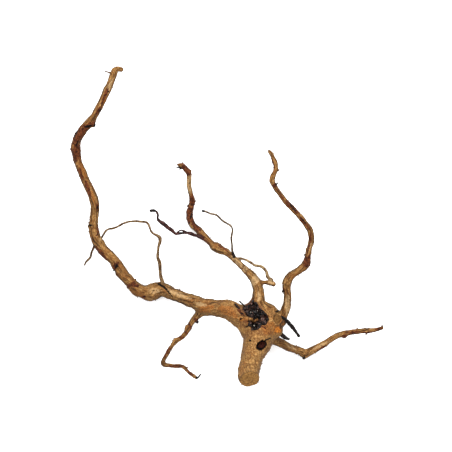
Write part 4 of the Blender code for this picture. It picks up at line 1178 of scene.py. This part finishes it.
def build_wood(shape_settings, finish_settings):
    """The body of wood: limbs and hub as one fine mesh, settled on their melted-together form."""
    wood = Wood()
    root = rough_out(wood, shape_settings.voxel)
    shape = root.data
    points = wood.settle(positions(shape), 3)
    put_positions(shape, points)
    out = normals(shape)
    found = wood.grain(points)
    number, along, angle, radius = found.T
    height = points[:, 2]
    on_stub = number == 0
    grain = grain_space(angle + GRAIN_TWIST * along, along, radius, 40 * number)
    draw = np.random.default_rng(shape_settings.seed)
    saw = wood.sawn(points, out)
    bark = marks(points, BARK, 0.7, 31)

    # The decayed pocket with its ragged edge, the ridges of sound wood in it, the knot hole and the split.
    pocket, hole = wood.hollows(points)
    from_edge = outline_distance(points, DECAY_EDGE)
    edge = from_edge + 1.3 * noise(points, 3.4, 23) + 0.8 * noise(points, 1.5, 24)
    edge = np.where((height > POCKET_LOWEST) & (out[:, 2] > -0.2), edge, 9.0)
    decayed = 1 - step(edge, -0.5, 0.9)
    ridge = marks(points, RIDGES, 0.5, 49) * (height > POCKET_LOWEST)
    pocket_in = np.maximum(1 - step(pocket, 0.2, 1.4), decayed) * (1 - ridge)
    hole_in = 1 - step(hole, 0.4, 1.3)
    across = ((points - wood.knot_hole.middle) @ wood.knot_hole.turn / wood.knot_hole.size)[:, :2]
    hole_rim = hole_in * step(np.linalg.norm(across, axis=1) + 0.12 * noise(points, 2.5, 29), 0.66, 0.84)
    split = 1 - step(wood.split.measure(points)[:, 0], 0.05, 0.45)

    # The wood that has grown in a ring round the branch scar, and the groove between them.
    over, rest = wood.scar_saw.measure(points)
    ring = np.linalg.norm(rest * np.array([1.25, 1, 1]), axis=1)
    ring = ring + 0.4 * noise(points, 3.0, 27)
    near_scar = (1 - step(np.abs(over), 2.5, 4)) * (out @ wood.scar_saw.normal > 0.2)
    callus = near_scar * np.exp(-((ring - 7.2) / 1.3) ** 2)
    scar_rim = near_scar * (1 - step(np.abs(ring - SCAR_REACH), 0.35, 0.95))

    # The relief: broad lumps, ridges along the grain, folds across the bends, nubs, pits and bark.
    size = np.clip(radius / 6, 0.35, 1.15)
    slim = 1 - 0.8 * step(radius, 7.5, 13)
    lumps = rough(points, 10.0, 51, 3) * shape_settings.lumps * size
    flutes = rough(grain / np.array([1.0, 1.0, 14.0]), 2.6, 57, 3, 0.6)
    flutes = np.abs(flutes) * -1.4 + 0.5
    ridges = flutes * shape_settings.ridges * np.sqrt(size) * slim
    bends = np.zeros(len(points))
    for i, limb in enumerate(wood.limbs):
        rows = number == i
        bends[rows] = np.interp(along[rows], limb.along, limb.bends)
    folds = rough(grain / np.array([5.0, 5.0, 1.0]), 2.2, 61, 2)
    folded = np.clip(bends * 14, 0, 1) * 0.3 + on_stub * 0.22
    nubs = bumps(points, draw, shape_settings.nubs, (0.25, 1.1), (0.7, 1.8))
    pits = bumps(points, draw, shape_settings.pits, (0.3, 0.8), (0.6, 1.1))
    plates = bark * (shape_settings.bark + 0.22 * rough(points, 2.4, 79, 3))
    relief = 0.7 * callus - 0.5 * scar_rim + lumps + (ridges + folded * folds) * (1 - pocket_in)
    keep = (1 - saw) * (1 - 0.7 * hole_in) * step(height, 0.3, 1.5)
    decay = decayed * (1.6 + 1.2 * rough(points, 3.2, 71, 3))
    move = keep * (relief + nubs - pits + plates) - decay * (1 - ridge)
    move = move + 1.4 * ridge
    sawn = saw * 0.12 * noise(points * np.array([0.2, 1, 1]), 1.2, 87)
    put_positions(shape, points + out * ((move + sawn) * step(height, 0.0, 1.2))[:, None])
    # Painted shade, with some dirt: a mask of the sides and undersides, by the way they face.
    under = step(-normals(shape)[:, 2], -0.92, -0.1)
    keep_inside(shape)

    # The masks that the finish reads.
    # Painted shade: the grooves between the ridges, the folds at the bends and the pits are darkened in the
    # finish.
    groove = step(-(0.7 * flutes + 0.6 * folded * folds), -0.05, 0.6) * (1 - saw) * slim
    # Real black stains, with the split's walls painted near black as painted shade.
    black = np.maximum(marks(points, BLACK, 0.6, 37), split)
    round_pocket = 1 - step(from_edge + 2.0 * noise(points, 4.0, 25), 0.5, 5.5)
    high = height > STAIN_LOWEST
    behind = wood.stub_saw.measure(points)[0] + 0.5 * noise(points, 2.4, 97)
    lip = np.exp(-((behind + 1.2) / 1.1) ** 2) * (1 - saw) * on_stub
    scar = np.linalg.norm(points - wood.scar_saw.middle, axis=1) < NEAR_SCAR
    put_layers(shape, {
        "grain": grain,
        "place": points,
        "bark": bark,
        # The black mask: real stains, the knot hole's rim, and painted shade in the split and the deepest pits.
        "black": np.maximum(black, np.maximum(hole_rim, step(pits, 0.5, 0.85))),
        "flap": marks(points, FLAPS, 0.7, 47) * high,
        "rim": np.maximum(scar_rim, 0.75 * lip),
        "thick": step(radius, 8, 14),
        "orange": marks(points, ORANGE, 0.6, 41),
        "amber": marks(points, AMBER_SPOTS, 0.5, 45),
        "pale": marks(points, PALE, 0.6, 43),
        "saw": saw,
        "scar": saw * scar,
        "pith": wood.pith(points, scar),
        "pocket": pocket_in,
        "hole": hole_in,
        # Painted shade in the grooves and pits.
        "groove": np.maximum(groove, step(pits, 0.15, 0.45)),
        "under": under,
        "stain": np.maximum(round_pocket, 0.8 * marks(points, DULL, 0.7, 53)) * high,
    })
    dress(root, wood_finish(finish_settings))
    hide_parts(NODE)
    return root


def build_twig(name, stations, wider, seed, black_parts, finish, knobbly):
    """A thin twig as a fine loft, knobbly along it, sunk at its root into what it grows from."""
    limb = Limb([(x, y, z, r * wider) for x, y, z, r in stations], seed, spacing=0.8, ridge=0.08)

    def swell(stop, angle):
        around = np.array([[math.cos(angle) * 1.4, math.sin(angle) * 1.4, stop]])
        coarse = float(noise(around, 3.4, int(seed * 10))[0])
        fine = float(noise(around, 1.5, int(seed * 10) + 3)[0])
        return 1 + knobbly * coarse + 0.6 * knobbly * fine

    bm = bmesh.new()
    along, angle, radius = loft(bm, limb, 12, 0.7, swell).T
    twig = from_bmesh(name, bm)
    keep_inside(twig.data)
    points = positions(twig.data)
    put_layers(twig.data, {
        "grain": grain_space(angle, along, radius, 60 * seed),
        "place": points,
        "black": marks(points, black_parts, 0.4, 71),
    })
    dress(twig, finish)


def build_spurs(finish_settings):
    """Snags and broken twiglets, each a short bent limb, as one mesh."""
    bm = bmesh.new()
    grains = []
    blacks = []
    for i, (base, tip, black) in enumerate(SPURS):
        middle = [(a + b) / 2 for a, b in zip(base, tip)]
        middle[2] += 0.3
        middle[3] = 0.4 * base[3] + 0.6 * tip[3]
        limb = Limb([base, tuple(middle), tip], 0.7 * i, spacing=0.6, ridge=0.1)
        along, angle, radius = loft(bm, limb, 10, 0.6).T
        grains.append(grain_space(angle, along, radius, 9 * i))
        blacks.append(np.full(len(along), black))
    spurs = from_bmesh("spurs", bm)
    shape = spurs.data
    points = positions(shape)
    put_positions(shape, points + normals(shape) * (0.14 * noise(points, 1.3, 83))[:, None])
    keep_inside(shape)
    put_layers(shape, {"grain": np.vstack(grains), "place": points, "black": np.concatenate(blacks)})
    dress(spurs, twig_finish("snag_skin", BROWN, UMBER, finish_settings))


def build_crumbs(root, settings):
    """Shiny black crumbs and splinters of decayed wood that stick to the pocket, as one mesh."""
    shape = root.data
    rows = np.where(read(shape.attributes["pocket"].data, "value") > 0.6)[0]
    if len(rows) == 0:
        raise RuntimeError("the pocket has no surface for its crumbs")
    points, out = positions(shape)[rows], normals(shape)[rows]
    draw = np.random.default_rng(settings.seed)
    clear = 1 - marks(points, [(x, y, a + 1.6, b + 1.6, turn) for x, y, a, b, turn in RIDGES], 0.3, 49)
    clear = (clear + 1e-4) / (clear + 1e-4).sum()
    bm = bmesh.new()
    tones = []

    def ball(matrix, tone, radius=1.0):
        tones.append(tone)
        bmesh.ops.create_icosphere(bm, subdivisions=2, radius=radius, matrix=matrix)

    for i in draw.choice(len(points), settings.crumbs, p=clear):
        tone = draw.choice([0.0, 0.3, 1.0], p=[0.64, 0.16, 0.2])
        size = draw.choice([draw.uniform(0.5, 1.5), draw.uniform(1.5, 2.8)], p=[0.8, 0.2]) * MM
        turn = Matrix.Rotation(draw.uniform(0, 6.28), 4, Vector(draw.normal(size=3)).normalized())
        stretch = Matrix.Diagonal((*draw.uniform(0.4, 1.5, 3), 1.0))
        ball(Matrix.Translation(points[i] * MM) @ turn @ stretch @ Matrix.Scale(size, 4), tone)
    for i in draw.choice(len(points), settings.crumbs // 3, p=clear):
        tone = draw.choice([0.0, 0.6], p=[0.8, 0.2])
        length, width = draw.uniform(2.0, 5.5), draw.uniform(0.3, 0.8)
        way = np.array([math.cos(-0.8 + draw.normal(0, 0.6)), math.sin(-0.8 + draw.normal(0, 0.6)), 0])
        way = way - out[i] * (way @ out[i]) + 0.25 * out[i]
        turn = Vector(way).normalized().to_track_quat("X", "Z").to_matrix().to_4x4()
        stretch = Matrix.Diagonal((length / 2 * MM, width * MM, 0.6 * width * MM, 1.0))
        ball(Matrix.Translation((points[i] + out[i] * 0.35) * MM) @ turn @ stretch, tone)
    plan = seen(points)
    # Pale specks that are painted glints.
    for x, y, size in GLINT_SPECKS:
        i = int(np.argmin(np.hypot(plan[:, 0] - x, plan[:, 1] - y) - 0.02 * points[:, 2]))
        ball(Matrix.Translation((points[i] + 0.9 * out[i]) * MM), GLINT_TONE, size * MM)
    crumbs = from_bmesh("pocket_crumbs", bm)
    shape = crumbs.data
    points = positions(shape)
    crumple = 0.4 * noise(points, 1.1, 91) + 0.45 * noise(points, 2.3, 93)
    put_positions(shape, points + normals(shape) * crumple[:, None])
    spread = np.repeat(tones, len(points) // len(tones))
    # The pale specks, painted glints, have their own tone.
    grains = spread == GLINT_TONE
    put_layers(shape, {"place": points, "tone": spread * ~grains, "glint_tone": grains})
    dress(crumbs, black_finish(), 38)


def build_hairs(root, settings):
    """Hairs, bristles and short stubs left of fine rootlets, as one mesh."""
    bm = bmesh.new()
    points, out = positions(root.data), normals(root.data)
    saw = read(root.data.attributes["saw"].data, "value")
    rows = np.where((np.abs(out[:, 2]) < 0.55) & (points[:, 2] > 4) & (saw < 0.1))[0]
    draw = np.random.default_rng(settings.seed + 2)
    for n, i in enumerate(draw.choice(rows, settings.stubs)):
        length, width = draw.uniform(0.7, 2.2), draw.uniform(0.25, 0.6)
        way = out[i] + 0.5 * draw.normal(size=3)
        way = way / np.linalg.norm(way)
        ends = np.array([points[i] - 0.5 * out[i], points[i] + 0.5 * length * way, points[i] + length * way])
        stations = np.column_stack([seen(ends), ends[:, 2], np.array([1, 0.7, 0.3]) * width])
        loft(bm, Limb(stations, 0.2 * n, spacing=0.4), 6, 0.5)
    for i, (base, tip, width) in enumerate(HAIRS):
        base, tip = np.array(base, dtype=float), np.array(tip, dtype=float)
        middle = (base + tip) / 2 + np.array([0.3 * math.sin(i), 0.3 * math.cos(2 * i), 0.4])
        stations = [(*base, width), (*middle, 0.8 * width), (*tip, 0.35 * width)]
        loft(bm, Limb(stations, 0.3 * i, spacing=0.5), 6, 0.8)
    hairs = from_bmesh("hairs", bm)
    keep_inside(hairs.data)
    dress(hairs, Finish("hair_skin").done({"Base Color": HAIR, "Roughness": 0.6}))


def build_flakes(root, settings):
    """Thin flakes of bark that lift at the edges of the bark left on, as one mesh."""
    shape = root.data
    bark = read(shape.attributes["bark"].data, "value")
    along = read(shape.attributes["grain"].data, "vector", 3)[:, 2]
    points, out = positions(shape), normals(shape)
    rows = np.where((bark > 0.25) & (bark < 0.9) & (points[:, 2] > 3))[0]
    draw = np.random.default_rng(settings.seed + 1)
    tree = tree_of(points[rows])
    bm = bmesh.new()
    for i in draw.choice(rows, settings.flakes):
        ahead = [rows[n] for _, n, _ in tree.find_range(points[i], 2.5) if along[rows[n]] > along[i] + 0.6]
        if not ahead:
            continue
        way = points[ahead].mean(0) - points[i]
        way = way - out[i] * (way @ out[i])
        way = way / max(np.linalg.norm(way), 1e-6)
        across = np.cross(out[i], way)
        length, width, lift = draw.uniform(1.6, 4.2), draw.uniform(0.5, 1.2), draw.uniform(0.15, 0.7)
        thick, droop = out[i] * 0.13, -out[i] * 0.12 * width
        loops = []
        for t in np.linspace(-0.5, 0.5, 7):
            wide = width * (0.35 + 0.65 * math.sin(math.pi * min(max(t + 0.55, 0.05), 0.95))) * 0.5
            centre = points[i] + way * (t * length) + out[i] * (lift * (t + 0.5) ** 2 * 1.6 + 0.05)
            left, right = centre - across * wide + droop, centre + across * wide + droop
            corners = (left - thick, centre - thick, right - thick, right + thick, centre + thick, left + thick)
            loops.append([bm.verts.new(c * MM) for c in corners])
        join_loops(bm, loops)
        bm.faces.new(loops[0][::-1])
        bm.faces.new(loops[-1])
    flakes = from_bmesh("bark_flakes", bm)
    keep_inside(flakes.data)
    put_layers(flakes.data, {"place": positions(flakes.data)})
    dress(flakes, bark_finish(), 45)


def built_wood():
    """The body of wood, which the crumbs, hairs and flakes are put on."""
    root = bpy.data.objects.get("root_wood")
    if root is None:
        raise RuntimeError("the wood has to be built first")
    return root


class SPIDERWOOD_OT_wood(bpy.types.Operator):
    """Build the body of wood with its hub, arms, hook twig, hollows and sawn faces"""

    bl_idname = "spiderwood.wood"
    bl_label = "Wood"

    def execute(self, context):
        root = build_wood(context.scene.spiderwood_shape, context.scene.spiderwood_finish)
        if len(root.data.polygons) < FEWEST_FACES:
            raise RuntimeError("the wood's mesh came out too coarse")
        return {"FINISHED"}


class SPIDERWOOD_OT_twigs(bpy.types.Operator):
    """Build the thin twigs, the rootlet and the black dead rootlets"""

    bl_idname = "spiderwood.twigs"
    bl_label = "Twigs"

    def execute(self, context):
        settings = context.scene.spiderwood_finish
        skins = {"brown": twig_finish("brown_twig_skin", settings.twig, TWIG_DARK, settings)}
        for skin, (tone, dark) in SKINS.items():
            skins[skin] = twig_finish(f"{skin}_twig_skin", tone, dark, settings)
        for name, stations, wider, seed, black_parts, skin, knobbly in TWIGS:
            build_twig(name, stations, wider, seed, black_parts, skins[skin], knobbly)
        for i, stations in enumerate(BLACK_STRAPS):
            build_twig(f"black_rootlet_{i}", stations, 1, 1.1 + i, [ALL_OF_IT], skins["dark"], 0.22)
        return {"FINISHED"}


class SPIDERWOOD_OT_spurs(bpy.types.Operator):
    """Build the snags and broken twiglets"""

    bl_idname = "spiderwood.spurs"
    bl_label = "Snags"

    def execute(self, context):
        build_spurs(context.scene.spiderwood_finish)
        return {"FINISHED"}


class SPIDERWOOD_OT_crumbs(bpy.types.Operator):
    """Build the black crumbs of decay in the pocket"""

    bl_idname = "spiderwood.crumbs"
    bl_label = "Decay"

    def execute(self, context):
        build_crumbs(built_wood(), context.scene.spiderwood_shape)
        return {"FINISHED"}


class SPIDERWOOD_OT_loose(bpy.types.Operator):
    """Build the hairs and the lifting flakes of bark"""

    bl_idname = "spiderwood.loose"
    bl_label = "Hairs and flakes"

    def execute(self, context):
        root = built_wood()
        build_hairs(root, context.scene.spiderwood_shape)
        build_flakes(root, context.scene.spiderwood_shape)
        return {"FINISHED"}


class SPIDERWOOD_OT_stage(bpy.types.Operator):
    """Build the pale floor, the soft lights and the camera overhead"""

    bl_idname = "spiderwood.stage"
    bl_label = "Stage"

    def execute(self, context):
        settings = context.scene.spiderwood_stage
        bpy.ops.mesh.primitive_plane_add(size=12.0, location=(0, 0, -FLOOR_GAP))
        floor = context.object
        floor.name = "floor"
        floor.data.materials.append(Finish("pale_floor").done({
            "Base Color": (*settings.floor, 1.0),
            "Roughness": 0.9,
            "Emission Color": WHITE,
            "Emission Strength": settings.glow,
        }))
        world = bpy.data.worlds.new("surround")
        world.use_nodes = True
        sky = world.node_tree.nodes["Background"]
        sky.inputs["Color"].default_value = WHITE
        sky.inputs["Strength"].default_value = settings.world
        context.scene.world = world
        # Each light's name, place and size in metres, and power.
        for name, location, size, power in (
                ("key_light", (0.2, 1.5, 1.8), 1.2, settings.key),
                ("glint_light", (0.25, 0.8, 2.3), 0.16, settings.glint),
                ("overhead_light", (-0.2, 0.5, 2.3), 3.2, settings.fill)):
            light = new_object(name, bpy.data.lights.new(name, "AREA"))
            light.data.shape = "DISK"
            light.data.size = size
            light.data.energy = power
            light.location = location
            way = Vector(LIT_POINT) - Vector(location)
            light.rotation_euler = way.to_track_quat("-Z", "Y").to_euler()
        context.scene.view_settings.view_transform = "Standard"
        camera = new_object("camera", bpy.data.cameras.new("camera"))
        camera.data.sensor_width = 36.0
        camera.data.lens = settings.lens
        camera.data.clip_end = 30.0
        camera.location = (-CENTRE_X * MM, -CENTRE_Y * MM, settings.eye)
        camera.rotation_euler = (0.0, 0.0, 0.0)
        context.scene.camera = camera
        return {"FINISHED"}


class SPIDERWOOD_PT_panel(bpy.types.Panel):
    """The root's settings and build steps"""

    bl_label = "Spiderwood Root"
    bl_idname = "SPIDERWOOD_PT_panel"
    bl_space_type = "VIEW_3D"
    bl_region_type = "UI"
    bl_category = "Spiderwood"

    def draw(self, context):
        for group in SETTINGS:
            settings = getattr(context.scene, group)
            box = self.layout.box()
            for key in settings.__annotations__:
                box.prop(settings, key)
        for kind in OPERATORS:
            self.layout.operator(kind.bl_idname)


OPERATORS = (
    SPIDERWOOD_OT_wood, SPIDERWOOD_OT_twigs, SPIDERWOOD_OT_spurs, SPIDERWOOD_OT_crumbs,
    SPIDERWOOD_OT_loose, SPIDERWOOD_OT_stage,
)
SETTINGS = {
    "spiderwood_shape": ShapeSettings,
    "spiderwood_finish": FinishSettings,
    "spiderwood_stage": StageSettings,
}
CLASSES = (*SETTINGS.values(), *OPERATORS, SPIDERWOOD_PT_panel)


def register():
    for kind in CLASSES:
        bpy.utils.register_class(kind)
    for name, kind in SETTINGS.items():
        setattr(bpy.types.Scene, name, PointerProperty(type=kind))


def unregister():
    for name in SETTINGS:
        delattr(bpy.types.Scene, name)
    for kind in reversed(CLASSES):
        bpy.utils.unregister_class(kind)


def main():
    register()
    bpy.ops.spiderwood.wood()
    bpy.ops.spiderwood.twigs()
    bpy.ops.spiderwood.spurs()
    bpy.ops.spiderwood.crumbs()
    bpy.ops.spiderwood.loose()
    bpy.ops.spiderwood.stage()


if __name__ == "__main__":
    main()
